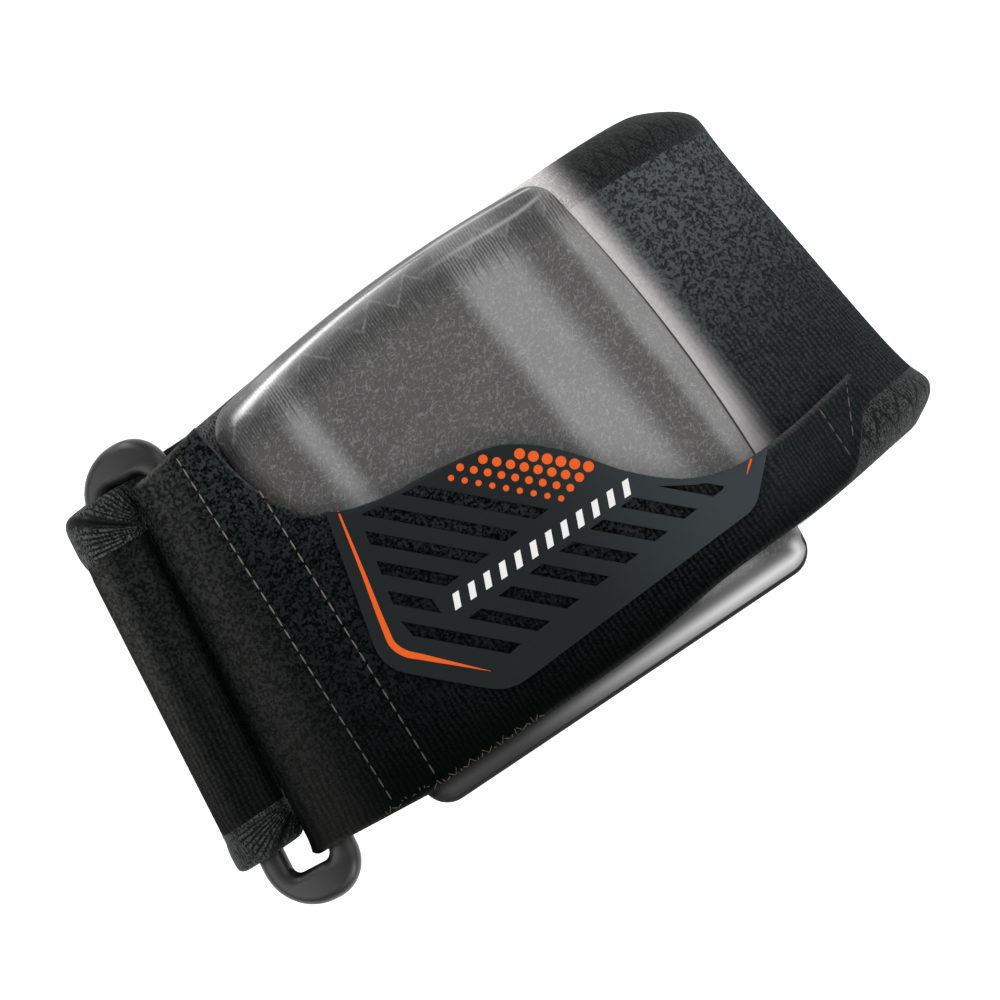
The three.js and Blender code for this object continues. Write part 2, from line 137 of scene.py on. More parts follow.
class StrapSizes(bpy.types.PropertyGroup):
    thickness: length("Thickness", "Thickness of the strap", 1.9)
    tip_x: length("Tip", "Place of the pointed tip", 56.3)
    corner_x: length("Corner", "Where the wavy edge leaves the pad's left side", -33.7)
    fold_upper: length("Upper fold", "Upper edge where the strap turns round the ring", 33.9)
    fold_lower: length("Lower fold", "Lower edge where the strap turns round the ring", -30.9)
    land_start: length("Landing start", "Where the strap starts down from the pad", 36.5)
    land_end: length("Landing end", "Where the strap has come down to the sleeve", 47)
    flap_length: length("Flap", "Length of the end that is sewn back under the strap", 4.2)
    edge_bead: length("Edge bead", "How far the turned edges stand up", 0.28)
    seam_groove: length("Seam groove", "Depth that the stitching draws the strap down", 0.22)
    clearance: length("Clearance", "Between the pad and its neighbours", 0.3)


class PatchSizes(bpy.types.PropertyGroup):
    thickness: length("Thickness", "Height of the patch over the strap", 0.75)
    edge: length("Edge", "Rounding of the patch's edges", 0.16)
    slot_width: length("Slot width", "Width of the slanted slots", 1.85)
    slot_pitch: length("Slot pitch", "Distance across from slot to slot", 4.3)
    slot_start: length("Slot start", "Place of the first slot, across the slots", -22.5)
    slot_count: IntProperty(name="Slots", description="Number of slanted lines of slots", default=8, min=0)
    slot_angle: angle("Slot angle", "Direction of the slots from the strap's", -44)
    print_height: length("Print height", "Thickness of printed lines and marks", 0.06)


class ThreadSizes(bpy.types.PropertyGroup):
    pitch: length("Stitch pitch", "Distance from stitch to stitch", 2.3)
    dash: length("Stitch length", "Length of thread that shows in each stitch", 1.85)
    radius: length("Thread radius", "Half of the thread's thickness", 0.14)


class Colours(bpy.types.PropertyGroup):
    # knit_black and knit_shade also serve as painted shade: the strap low down and towards its lower left,
    # and the sleeve's wrap by the ring, fade to them.
    knit_black: colour("Knit, strap hollows", "Between the grains of the strap", 0.0009, 0.0012, 0.0012)
    knit_dark: colour("Knit, sleeve hollows", "Between the grains of the sleeve", 0.0058, 0.0068, 0.007)
    knit_shade: colour("Knit, dark grains", "Grains low on the strap", 0.0105, 0.0125, 0.0127)
    knit_light: colour("Knit, grains", "Most grains of the knit", 0.0185, 0.0215, 0.0218)
    # Painted light: the sleeve's grains turn to this lit colour towards the narrow rim.
    knit_lit: colour("Knit, bright grains", "Grains by the narrow rim", 0.05, 0.0565, 0.0575)
    # Painted light: a pale sheen along the knit's folds and edges, and beside the pad.
    knit_painted_light: colour("Knit, pale", "Knit along its folds and edges", 0.07, 0.066, 0.063)
    # hem_dark fills the hollows of the fine wrinkles and is painted shade in the hems' creases and in the
    # furrows by the ring.
    hem_dark: colour("Hem, creases", "Creases of the hems", 0.0012, 0.0014, 0.0015)
    hem_light: colour("Hem, ridges", "Ridges of the hems", 0.0165, 0.0188, 0.0192)
    hem_pale: colour("Hem, lit ridges", "Ridges where light falls on them", 0.066, 0.068, 0.068)
    # Painted reflection: the near-white of the smooth strip beside the pad.
    satin: colour("Satin strip", "Smooth strip beside the pad", 0.54, 0.52, 0.52)
    # The pad's smoke grey runs from pad_dark to pad_light along painted reflections of the softboxes.
    pad_dark: colour("Pad, dark", "Darkest smoke grey of the pad", 0.046, 0.0443, 0.0438)
    pad_light: colour("Pad, light", "Lightest smoke grey of the pad", 0.183, 0.181, 0.181)
    pad_hem: colour("Pad, gathers", "The hem's gathers through the pad", 0.018, 0.018, 0.018)
    pad_rim: colour("Pad, rim", "Dark outline of the pad", 0.0025, 0.0025, 0.0025)
    # Painted reflection on the pad's lower rim and in the two fine highlights along its narrow end.
    pad_reflection: colour("Pad, silver", "Lower rim of the pad where it is silvery", 0.43, 0.43, 0.43)
    # Painted light: the patch lightens from patch_dark to patch_light towards its right end.
    patch_dark: colour("Patch, left", "Slate of the patch at its left end", 0.0072, 0.0092, 0.0096)
    patch_light: colour("Patch, right", "Slate of the patch at its right end", 0.0215, 0.0268, 0.0295)
    ring: colour("Ring", "Dark grey of the ring", 0.006, 0.006, 0.0061)
    thread: colour("Thread", "Grey beige of the stitches", 0.13, 0.113, 0.1)
    orange: colour("Orange", "Orange of the printed lines and marks", 0.5, 0.07, 0.008)
    white: colour("White", "White of the printed marks", 0.52, 0.52, 0.51)
    floor: colour("Floor", "Pale floor", 0.93, 0.93, 0.93)


class StageSizes(bpy.types.PropertyGroup):
    frame_width: length("Frame width", "Width of the picture at the strap", 158.73)
    strap_height: length("Strap height", "Height at which the picture has that width", 37)
    lens: FloatProperty(
        name="Lens", description="Focal length in millimetres", default=400, subtype="DISTANCE_CAMERA"
    )
    turn: angle("Turn", "How far the picture is turned about the vertical", -33.5)
    floor_size: length("Floor size", "Width of the floor", 30000)
    ambient: number("Ambient light", "Strength of the light from all round", 0.55)
    glow: number("Floor glow", "Strength of the light from the pale floor itself", 0.35)


class ElbowSupport(bpy.types.PropertyGroup):
    sleeve: PointerProperty(type=SleeveSizes)
    ring: PointerProperty(type=RingSizes)
    pad: PointerProperty(type=PadSizes)
    strap: PointerProperty(type=StrapSizes)
    patch: PointerProperty(type=PatchSizes)
    thread: PointerProperty(type=ThreadSizes)
    colours: PointerProperty(type=Colours)
    stage: PointerProperty(type=StageSizes)
    fineness: IntProperty(
        name="Fineness", description="Grid lines for each step of the cloth", default=6, min=1
    )


def sizes():
    return bpy.context.scene.elbow_support


# Short tables, in millimetres and degrees

# Rims of the sleeve round its section: turn, lower rim, upper rim
SLEEVE_RIMS = [
    (122, -32.4, 36.0),
    (90, -31.8, 39.2),
    (55, -28.9, 39.8),
    (28, -26.6, 39.2),
    (0, -25.9, 38.2),
    (-90, -26.5, 36.8),
    (-180, -27.0, 35.2),
    (-215, -27.8, 34.4),
]

# Wavy upper edge of the strap, from the pad's left side to the tip: x, y
STRAP_UPPER_EDGE = [
    (-33.7, 36.1),
    (-32.3, 27.1),
    (-28.8, 18.5),
    (-23.1, 13.2),
    (-16.8, 10.9),
    (-4.3, 9.4),
    (5.9, 6.7),
    (13.0, 0.6),
    (18.8, -6.9),
    (25.8, -13.1),
    (33.4, -15.9),
    (43.7, -15.7),
    (56.3, -13.8),
]

# Lower edge of the strap, and the slanted end below the tip: x, y
STRAP_LOWER_EDGE = [
    (-33.7, -32.5),
    (-13.3, -32.3),
    (7.4, -31.6),
    (22.2, -29.8),
    (44.0, -28.4),
    (49.2, -27.2),
    (51.7, -24.5),
    (53.6, -22.0),
    (55.2, -19.5),
    (56.3, -14.8),
]

# Corners of the patch below the strap's wavy edge: x, y, radius
PATCH_CORNERS = [
    (-22.8, 21.0, 0),
    (-30.0, -12.0, 4),
    (-15.4, -26.0, 3.5),
    (32.9, -23.2, 2),
    (44.0, -12.2, 0),
]

# Fields of the patch that the slots open, above and below its bare strip: x, y
SLOT_FIELDS = [
    [(-9.2, 8.9), (-19.5, 10.1), (-20.4, 7.6), (-23.6, -7.0), (-17.5, -11.0), (-17.5, -6.8), (5.6, -5.4)],
    [
        (-23.6, -6.4), (-16.6, -12.8), (20.5, -11.1), (27.0, -15.0), (31.5, -16.9),
        (30.1, -17.9), (-9.7, -20.6), (-12.2, -21.0), (-23.1, -10.4),
    ],
]

# Printed lines along the patch's left side and at its right end: x, y, width
ACCENT_LINES = {
    "accent_line": [
        (-22.2, 12.6, 0.3),
        (-24.2, 2.6, 0.62),
        (-26.3, -7.4, 1.0),
        (-26.6, -9.6, 1.1),
        (-25.8, -11.7, 1.1),
        (-23.7, -13.9, 0.95),
        (-20.4, -17.2, 0.55),
        (-16.0, -21.6, 0.06),
    ],
    "accent_tick": [(36.5, -16.4, 0.34), (35.5, -17.2, 0.3), (34.5, -18.1, 0.06)],
}

# Lines of stitches on the strap: x, y
STITCH_LINES = [
    [(-38.9, 34.0), (-40.2, -31.2)],
    [(-30.8, 22.2), (-32.3, -31.2)],
    [(50.0, -15.9), (50.0, -25.2)],
    [(56.0, -14.6), (53.3, -20.0), (51.6, -23.2)],
]

# Fans of folds where the sleeve is gathered at the ring's ends: x, y, side of the rim
CORNER_FANS = [(-48.7, 27.1, 1), (-53.5, -21.5, -1)]

# Softboxes: angle across and along the strap from the vertical, distance, width, length, radiance
SOFTBOXES = {
    "narrow_end": (-33.0, 69.0, 1.6, 0.18, 1.4, 18.0),
    "narrow_fade": (-8.0, 75.0, 1.6, 0.2, 1.4, 1.6),
    "wide_end": (34.0, -56.0, 1.6, 0.9, 0.7, 6.0),
    "middle": (0.0, -38.0, 1.6, 1.6, 0.5, 3.0),
    "left": (-58.0, 10.0, 1.6, 0.8, 1.4, 3.0),
    "right": (58.0, 12.0, 1.6, 0.8, 1.4, 3.0),
    "strip_right": (29.0, 6.0, 1.6, 0.42, 1.0, 2.2),
    "strip_middle": (11.0, 9.0, 1.6, 0.23, 0.8, 3.0),
    "strip_left": (-9.2, 9.0, 1.6, 0.07, 0.8, 3.0),
}


# Curves and tables


def lerp(start, end, share):
    return start + (end - start) * share


def smoothstep(value, low, high):
    share = np.clip((value - low) / (high - low), 0, 1)
    return share * share * (3 - 2 * share)


def smooth_table(keys, values):
    """Smooth curve through a table's rows, flat beyond its ends."""
    order = np.argsort(keys)
    keys = np.array(keys, float)[order]
    values = np.array(values, float)[order]
    last = len(keys) - 2

    def curve(at):
        at = np.clip(at, keys[0], keys[-1])
        here = np.clip(np.searchsorted(keys, at, side="right") - 1, 0, last)
        before = np.where(here > 0, here - 1, here + 1)
        after = np.where(here < last, here + 2, here)
        half = (keys[here + 1] - keys[here]) / 2
        pull = half / (keys[here] - keys[before])
        push = half / (keys[after] - keys[here + 1])
        p = (at - keys[here]) / (2 * half)
        return (
            values[before] * pull * (2 * p**2 - p**3 - p)
            + values[here] * ((1 + pull) * p**3 - (1.5 + 2 * pull) * p**2 + (pull - 0.5) * p + 1)
            + values[here + 1] * ((1.5 + push) * p**2 - (1 + push) * p**3 + 0.5 * p)
            + values[after] * push * (p**3 - p**2)
        )

    return curve


def edge_curve(rows):
    return smooth_table([x * MM for x, _ in rows], [y * MM for _, y in rows])


def bell(value, middle, width):
    """1 at the middle, falling smoothly to 0 on both sides."""
    return np.exp(-(((value - middle) / width) ** 2))


rim_turns = [row[0] for row in SLEEVE_RIMS]
lower_rim = smooth_table(rim_turns, [row[1] * MM for row in SLEEVE_RIMS])
upper_rim = smooth_table(rim_turns, [row[2] * MM for row in SLEEVE_RIMS])
strap_upper_edge = edge_curve(STRAP_UPPER_EDGE)
strap_lower_edge = edge_curve(STRAP_LOWER_EDGE)


def crowd_ends(share):
    """Steps that crowd towards both ends of a run."""
    even = 0.3
    return lerp((1 - np.cos(np.pi * share)) / 2, share, even)


def signed_power(value, power):
    return np.sign(value) * np.abs(value) ** power


# Sections: points are (x, height) in the plane at one y


def unit(way):
    return way / np.linalg.norm(way, axis=-1, keepdims=True)


def heading(degrees):
    turned = np.radians(degrees)
    return np.stack([np.cos(turned), np.sin(turned)], axis=-1)


def left_of(way):
    return np.stack([-way[..., 1], way[..., 0]], axis=-1)


def section_scale(y):
    return 1 - sizes().sleeve.taper * y


def oval_point(turn, y):
    """Point of the sleeve's oval at a turn in degrees; it is flat where it rests."""
    sleeve = sizes().sleeve
    scale = section_scale(y)
    way = signed_power(heading(turn), 2 / sleeve.roundness)
    x = sleeve.centre_x + scale * sleeve.half_width * way[..., 0]
    height = sleeve.centre_height + sleeve.half_height * way[..., 1]
    return np.stack([x, scale * np.maximum(0, height)], axis=-1)


def front_height(x, y, lift):
    """Height of the front at (x, y), on the oval grown by a lift."""
    sleeve = sizes().sleeve
    scale = section_scale(y)
    across = np.minimum(np.abs(x - sleeve.centre_x) / (scale * sleeve.half_width + lift), 1)
    rise = (1 - across**sleeve.roundness) ** (1 / sleeve.roundness)
    return scale * sleeve.centre_height + (scale * sleeve.half_height + lift) * rise


def front_turn(x, y):
    sleeve = sizes().sleeve
    across = np.clip((x - sleeve.centre_x) / (section_scale(y) * sleeve.half_width), -1, 1)
    return np.degrees(np.arccos(signed_power(across, sleeve.roundness / 2)))


def ring_axes():
    """Directions across the ring's bars, along them, and out of its face."""
    ring = sizes().ring
    along = unit(np.array([math.tan(ring.yaw), 1, -sizes().sleeve.taper * ring.centre_height]))
    across = np.array([math.cos(ring.roll), 0, math.sin(ring.roll)])
    across = unit(across - along * across.dot(along))
    return across, along, np.cross(across, along)


def ring_centre():
    ring = sizes().ring
    return np.array([ring.centre_x, ring.centre_y, ring.centre_height])


def bar_centre(side, y):
    """Centre of the left (-1) or right (+1) bar where it crosses the plane at y."""
    across, along, _ = ring_axes()
    centre = ring_centre() + across * side * sizes().ring.bar_spacing / 2
    steps = (y - centre[1]) / along[1]
    return np.stack([centre[0] + along[0] * steps, centre[2] + along[2] * steps], axis=-1)


def bridge(start, start_way, end, end_way, share):
    """Smooth bridge between two points that leaves and arrives along given directions."""
    pull = np.linalg.norm(end - start, axis=-1, keepdims=True) / 3
    first, second = start + start_way * pull, end - end_way * pull
    left = 1 - share
    return left**3 * start + 3 * left**2 * share * first + 3 * left * share**2 * second + share**3 * end


def share_of(station, start, steps):
    return np.clip((station - start) / steps, 0, 1)[..., None]


def way_at(path, station, last, y):
    nudge = 0.15
    before = path(np.maximum(0, station - nudge), y)
    return unit(path(np.minimum(last, station + nudge), y) - before)


def lengths_along(points):
    """Length from the first point to each point."""
    steps = np.linalg.norm(np.diff(points, axis=0), axis=1)
    return np.concatenate([[0], np.cumsum(steps)])


def path_length(path, last, y):
    """Length along a path from its start to each station, at one y."""
    samples = 600
    stations = np.linspace(0, last, samples)
    lengths = lengths_along(path(stations, np.full_like(stations, y)))
    return lambda station: np.interp(station, stations, lengths)


def cloth_place(run, station, y):
    """Place on the flat cloth, in units of its UV map."""
    return np.stack([run(station), y], axis=-1) / (CLOTH_UV * MM)


# Sleeve and hems

# Stations run along the sleeve: round the oval, up its left side, then round the ring's left bar.
OVAL_STEPS, RISE_STEPS, BAND_WRAP_STEPS = 40, 4, 10
SLEEVE_LAST = OVAL_STEPS + RISE_STEPS + BAND_WRAP_STEPS
FRONT_END_TURN, LEFT_SIDE_TURN = 122, -188
BAND_WRAP_START, BAND_WRAP_END = 165, -95

# Stations between which the fold is swollen, and stations of its two lines of painted light
BAND_FOLD = (OVAL_STEPS + 2.5, SLEEVE_LAST - 3)
PAINTED_LIGHT_TURN = OVAL_STEPS + RISE_STEPS + 1
PAINTED_LIGHT_FOLD = PAINTED_LIGHT_TURN + 3.3

SLEEVE_AROUND, HEM_AROUND = 120, 100  # grid lines round the section
HEM_FINENESS = 3  # times the sleeve's grid lines, for the gathers


def sleeve_turn(station):
    return lerp(FRONT_END_TURN, LEFT_SIDE_TURN, station / OVAL_STEPS)


def sleeve_path(station, y):
    """Outer face of the sleeve: round the oval, up the left side, and round the ring's left bar."""
    oval = oval_point(sleeve_turn(np.minimum(station, OVAL_STEPS)), y)
    side = oval_point(np.full_like(y, LEFT_SIDE_TURN), y)
    up = unit(side - oval_point(np.full_like(y, LEFT_SIDE_TURN + 1), y))
    bar = bar_centre(-1, y)
    radius = sizes().ring.bar_seat + sizes().sleeve.wall
    on_bar = bar + radius * heading(BAND_WRAP_START)
    risen = share_of(station, OVAL_STEPS, RISE_STEPS)
    rise = bridge(side, up, on_bar, heading(BAND_WRAP_START - 90), risen)
    wrapped = share_of(station, OVAL_STEPS + RISE_STEPS, BAND_WRAP_STEPS)[..., 0]
    wrap = bar + radius * heading(lerp(BAND_WRAP_START, BAND_WRAP_END, wrapped))
    station = station[..., None]
    return np.where(station <= OVAL_STEPS, oval, np.where(station < OVAL_STEPS + RISE_STEPS, rise, wrap))


def sleeve_point(station, y, depth):
    """Point of the sleeve's wall, a depth below its outer face."""
    out = left_of(way_at(sleeve_path, station, SLEEVE_LAST, y))
    point = sleeve_path(station, y) - out * depth[..., None]
    return np.stack([point[..., 0], y, point[..., 1]], axis=-1)


def curl_share(station):
    """A hem curls in at its rim all round the arm, and lies flat round the bar."""
    return 1 - smoothstep(station, OVAL_STEPS - 3, OVAL_STEPS + RISE_STEPS - 1)


def hem_sink(share, turn, curl, puff):
    """How far the band stands in from its oval, by the share of a hem's width from the seam to the rim.

    It curls in towards the rim, and at the loop's open side it swells from a little before the seam."""
    ring_side, at_seam, skew, fade = 0.25, 0.35, 1.3, 2.0
    side_power, curl_power, hump = 6, 2.4, 0.9
    across = np.cos(np.radians(turn))
    at_sides = np.where(across > 0, 1, ring_side) * across**side_power
    over_hem = np.clip(share, 0, 1)
    swell = at_seam * (1 - over_hem) + hump * np.sin(np.pi * over_hem**skew)
    before_seam = np.exp(fade * np.minimum(share, 0))
    return curl * np.maximum(share, 0) ** curl_power - at_sides * puff * swell * before_seam


def seam_shares(turn, y):
    """Shares of a hem's width from the lower and the upper seam to their rims, below 0 between the seams."""
    hem_width = sizes().sleeve.hem_width
    return 1 - (y - lower_rim(turn)) / hem_width, 1 - (upper_rim(turn) - y) / hem_width


def corner_fans(x, y, station):
    """Swell of the folds that fan out from where the sleeve is drawn in at the ring's ends, and their
    furrows, where the hems' finish paints shade.
    """
    folds, waver, waver_length = 64, 1.6, 2.2 * MM
    height, notch, lobe = 0.2 * MM, 0.6 * MM, 0.4 * MM
    root, root_turns, lobe_start, lobe_end = (1 * MM, 4 * MM), (-14, 2), (-6, 12), (95, 140)
    ripple_end, fan_end = (8 * MM, 12 * MM), (12 * MM, 16 * MM)
    ring_start, ring_end = (OVAL_STEPS + 0.5, OVAL_STEPS + 3.5), (SLEEVE_LAST - 4.5, SLEEVE_LAST - 2.5)
    swell, furrows = np.zeros_like(x), np.zeros_like(x)
    for fan_x, fan_y, side in CORNER_FANS:
        left, rimward = fan_x * MM - x, side * (y - fan_y * MM)
        reach = np.hypot(left, rimward)
        fan = np.degrees(np.arctan2(rimward, left))
        inside = smoothstep(reach, *root) * smoothstep(fan, *root_turns)
        ripple = np.sin(np.radians(fan) * folds + waver * np.sin(reach / waver_length))
        ripple *= 1 - smoothstep(reach, *ripple_end)
        valley = bell(fan, 38, 5) + 0.6 * bell(fan, -6, 4)
        lobes = smoothstep(fan, *lobe_start) * (1 - smoothstep(fan, *lobe_end))
        near = (1 - smoothstep(reach, *fan_end)) * smoothstep(station, *ring_start)
        near *= 1 - smoothstep(station, *ring_end)
        swell += near * inside * (height * ripple - notch * valley + lobe * lobes)
        furrows += near * inside * np.maximum(valley, np.clip(-ripple, 0, 1))
    return swell, np.clip(furrows, 0, 1)


def hem_creases(along, share, width):
    """Zigzag creases across a hem, from 0 to 1: a deep zigzag, and a finer one that mirrors it."""
    lowest, rise, past_seam = 0.12, 0.72, 0.02
    deep, fine, fine_depth = 0.34 * MM, 0.22 * MM, 0.55
    mirror = 2 * lowest + rise
    pitch = sizes().sleeve.gather_pitch
    zigzag = lowest + rise * np.abs(2 * ((along / pitch) % 1) - 1)
    slant = math.cos(math.atan(2 * rise * width / pitch))
    crease = bell((share - zigzag) * width * slant, 0, deep)
    second = bell((mirror - share - zigzag) * width * slant, 0, fine)
    over_hem = np.sin(np.pi * np.clip(share + past_seam, 0, 1)) ** 0.5
    return over_hem * np.maximum(crease, fine_depth * second)


def fold_swell(station, start, end):
    """Soft cloth swells where it turns round a bar, and closes the slot between the two turns."""
    swell, blend = 0.45 * MM, 2.0
    return swell * smoothstep(station, start - blend, start) * (1 - smoothstep(station, end, end + blend))


def slab_section(share, squareness):
    """Place round a slab's rounded section: share across it, reach past its flat part, and depth."""
    outer, upper, inner = 0.42, 0.5, 0.92
    across = np.interp(share, [0, outer, upper, inner, 1], [0, 1, 1, 0, 0])
    turned = np.pi * (np.interp(share, [outer, upper], [0, 1]) + np.interp(share, [inner, 1], [0, 1]))
    return across, signed_power(np.sin(turned), squareness), (1 - np.cos(turned)) / 2


# Meshes


def move_points(bm, points):
    for vert, point in zip(bm.verts, points + PHOTO_MIDDLE):
        vert.co = point


def grid_shares(bm):
    return np.array([(vert.co.x + 0.5, vert.co.y + 0.5) for vert in bm.verts]).T


def cloth_band(along_steps, around_steps, place, flat, mark):
    """A closed band: a grid that runs along it and once round its section.

    It keeps its flat size as a UV map and a mark from 0 to 1 where its finish paints light or shade."""
    bm = bmesh.new()
    cloth = bm.loops.layers.uv.new("cloth")
    marked = bm.verts.layers.float.new("mark")
    bmesh.ops.create_grid(bm, x_segments=along_steps, y_segments=around_steps, size=0.5)
    along, around = grid_shares(bm)
    flats = flat(along, around)
    bm.verts.index_update()
    for face in bm.faces:
        for corner in face.loops:
            corner[cloth].uv = flats[corner.vert.index]
    for vert, value in zip(bm.verts, mark(along, around)):
        vert[marked] = value
    move_points(bm, place(along, around))
    bmesh.ops.remove_doubles(bm, verts=bm.verts, dist=1e-7)
    bmesh.ops.holes_fill(bm, edges=[edge for edge in bm.edges if edge.is_boundary], sides=0)
    return bm


def flat_plate(outlines, thickness, edge):
    """A plate of closed outlines in metres, the later ones holes, from height 0 up to its thickness."""
    curve = bpy.data.curves.new("outline", "CURVE")
    curve.dimensions = "2D"
    curve.fill_mode = "BOTH"
    curve.extrude = thickness / 2 - edge
    curve.bevel_depth = edge
    curve.bevel_resolution = 2
    curve.offset = -edge
    for points in outlines:
        spline = curve.splines.new("POLY")
        spline.points.add(len(points) - 1)
        for place, (x, y) in zip(spline.points, points):
            place.co = (x, y, 0, 1)
        spline.use_cyclic_u = True
    holder = bpy.data.objects.new("outline", curve)
    bpy.context.scene.collection.objects.link(holder)
    made = bpy.data.meshes.new_from_object(holder.evaluated_get(bpy.context.evaluated_depsgraph_get()))
    bm = bmesh.new()
    bm.from_mesh(made)
    bpy.data.objects.remove(holder)
    bpy.data.curves.remove(curve)
    bpy.data.meshes.remove(made)
    bmesh.ops.remove_doubles(bm, verts=bm.verts, dist=1e-6)
    bmesh.ops.translate(bm, verts=bm.verts, vec=(0, 0, thickness / 2))
    return bm


PLATE_STEP = 1 * MM


def slice_plate(bm):
    """Cuts a plate along both ways, so that it can bend."""
    for axis in (0, 1):
        places = [vert.co[axis] for vert in bm.verts]
        start = math.floor(min(places) / PLATE_STEP) * PLATE_STEP + PLATE_STEP
        for at in np.arange(start, max(places), PLATE_STEP):
            middle, normal = [0, 0, 0], [0, 0, 0]
            middle[axis], normal[axis] = at, 1
            everything = bm.verts[:] + bm.edges[:] + bm.faces[:]
            bmesh.ops.bisect_plane(bm, geom=everything, dist=1e-7, plane_co=middle, plane_no=normal)


def make_piece(bm, name, material, sharp, nodes=()):
    """Turns a bmesh into a finished piece that rides on the part. Edges above the sharp angle stay hard."""
    bmesh.ops.recalc_face_normals(bm, faces=bm.faces)
    mesh = bpy.data.meshes.new(name)
    bm.to_mesh(mesh)
    bm.free()
    mesh.polygons.foreach_set("use_smooth", [True] * len(mesh.polygons))
    mesh.set_sharp_from_angle(angle=math.radians(sharp))
    mesh.materials.append(material)
    piece = bpy.data.objects.new(name, mesh)
    bpy.context.scene.collection.objects.link(piece)
    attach(piece, "root")
    if nodes:
        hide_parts(*nodes)
    return piece


# Strap

# Stations run from the tip along the front, across to the ring, round its right bar, and back under.
STRAP_FRONT_STEPS, REACH_STEPS, STRAP_WRAP_STEPS, FLAP_STEPS = 38, 5, 10, 2
STRAP_LAST = STRAP_FRONT_STEPS + REACH_STEPS + STRAP_WRAP_STEPS + FLAP_STEPS
REACH_TURN, STRAP_WRAP_END = 112, 325
STRAP_FOLD = (STRAP_FRONT_STEPS + REACH_STEPS + 1, STRAP_FRONT_STEPS + REACH_STEPS + 5)
STRAP_WIDTH, STRAP_FILL = 0.0702, 0.55  # flat width in metres, and the share of the rectangle that it fills
STRAP_AROUND = 160  # grid lines round the section


def strap_lift(x):
    """Lift of the strap's inner face: over the pad, then down onto the sleeve near the tip."""
    strap = sizes().strap
    over_pad = sizes().pad.thickness + 2 * strap.clearance
    return lerp(over_pad, strap.clearance, smoothstep(x, strap.land_start, strap.land_end))


def strap_sink(x, y):
    """Near the tip the strap follows the curl of the lower hem."""
    sleeve, strap = sizes().sleeve, sizes().strap
    turn = front_turn(x, y)
    share = np.minimum(seam_shares(turn, y)[0], 1)
    landed = smoothstep(x, strap.land_start, strap.land_end)
    return landed * hem_sink(share, turn, sleeve.lower_curl, sleeve.lower_puff)


def strap_front_x(station):
    strap = sizes().strap
    return lerp(strap.tip_x, strap.corner_x, crowd_ends(station / STRAP_FRONT_STEPS))


def strap_front(station, y):
    x = strap_front_x(station)
    return np.stack([x, front_height(x, y, strap_lift(x)) - strap_sink(x, y)], axis=-1)


def strap_path(station, y):
    """Inner face of the strap: from the tip along the front, round the ring's right bar, and back under."""
    front = strap_front(np.minimum(station, STRAP_FRONT_STEPS), y)
    start = strap_front(np.full_like(y, STRAP_FRONT_STEPS), y)
    away = unit(start - strap_front(np.full_like(y, STRAP_FRONT_STEPS - 0.1), y))
    bar = bar_centre(1, y)
    seat = sizes().ring.bar_seat
    reached = share_of(station, STRAP_FRONT_STEPS, REACH_STEPS)
    reach = bridge(start, away, bar + seat * heading(REACH_TURN), heading(REACH_TURN + 90), reached)
    wrap_start = STRAP_FRONT_STEPS + REACH_STEPS
    wrapped = share_of(station, wrap_start, STRAP_WRAP_STEPS)[..., 0]
    flap = share_of(station, wrap_start + STRAP_WRAP_STEPS, FLAP_STEPS) * sizes().strap.flap_length
    turned = heading(lerp(REACH_TURN, STRAP_WRAP_END, wrapped))
    wrap = bar + seat * turned + heading(STRAP_WRAP_END + 90) * flap
    station = station[..., None]
    return np.where(station <= STRAP_FRONT_STEPS, front, np.where(station < wrap_start, reach, wrap))


def strap_point(station, y, lift):
    """Point over the strap's inner face by a lift."""
    inward = left_of(way_at(strap_path, station, STRAP_LAST, y))
    point = strap_path(station, y) - inward * lift[..., None]
    return np.stack([point[..., 0], y, point[..., 1]], axis=-1)


def strap_edges(station):
    strap = sizes().strap
    x = strap_front_x(np.minimum(station, STRAP_FRONT_STEPS))
    share = share_of(station, STRAP_FRONT_STEPS, REACH_STEPS)[..., 0]
    lower = lerp(strap_lower_edge(x), strap.fold_lower, share)
    upper = lerp(strap_upper_edge(x), strap.fold_upper, share)
    return lower, upper


def seam_grooves(x, y):
    """The two long seams draw the strap down a little."""
    width = 0.8 * MM
    groove = np.zeros_like(x)
    for (x_top, y_top), (x_low, y_low) in STITCH_LINES[:2]:
        seam = lerp(x_low, x_top, (y / MM - y_low) / (y_top - y_low)) * MM
        groove += bell(x, seam, width)
    return groove * sizes().strap.seam_groove


def edge_bead(from_edge):
    """Height of the turned edge, by the distance from it."""
    middle, width = 1.1 * MM, 0.8 * MM
    return sizes().strap.edge_bead * bell(from_edge, middle, width)


def edge_fall(x, y):
    """How far the strap's outer face falls away at its upper edge."""
    radius = sizes().strap.thickness / 2
    inward = np.maximum(strap_upper_edge(x) - y, 0)
    return radius - np.sqrt(np.maximum(radius**2 - np.maximum(radius - inward, 0) ** 2, 0))


def strap_top(x, y, lift=0.0):
    """Point on the strap's outer face over (x, y), raised by a lift."""
    x, y = np.broadcast_arrays(np.asarray(x, float), np.asarray(y, float))
    thickness = sizes().strap.thickness
    height = front_height(x, y, strap_lift(x) + thickness + lift) - strap_sink(x, y)
    samples = 120
    stations = np.linspace(STRAP_FRONT_STEPS - 1, STRAP_FRONT_STEPS + REACH_STEPS + 3, samples)
    for place in np.flatnonzero(x.ravel() < sizes().strap.corner_x):
        at = np.full_like(stations, y.flat[place])
        run = strap_point(stations, at, np.full_like(stations, thickness + lift))[::-1]
        height.flat[place] = np.interp(x.flat[place], run[:, 0], run[:, 2])
    return np.stack([x, y, height], axis=-1)


# Finishes: places are in millimetres from the photo's middle, and the other numbers are shares


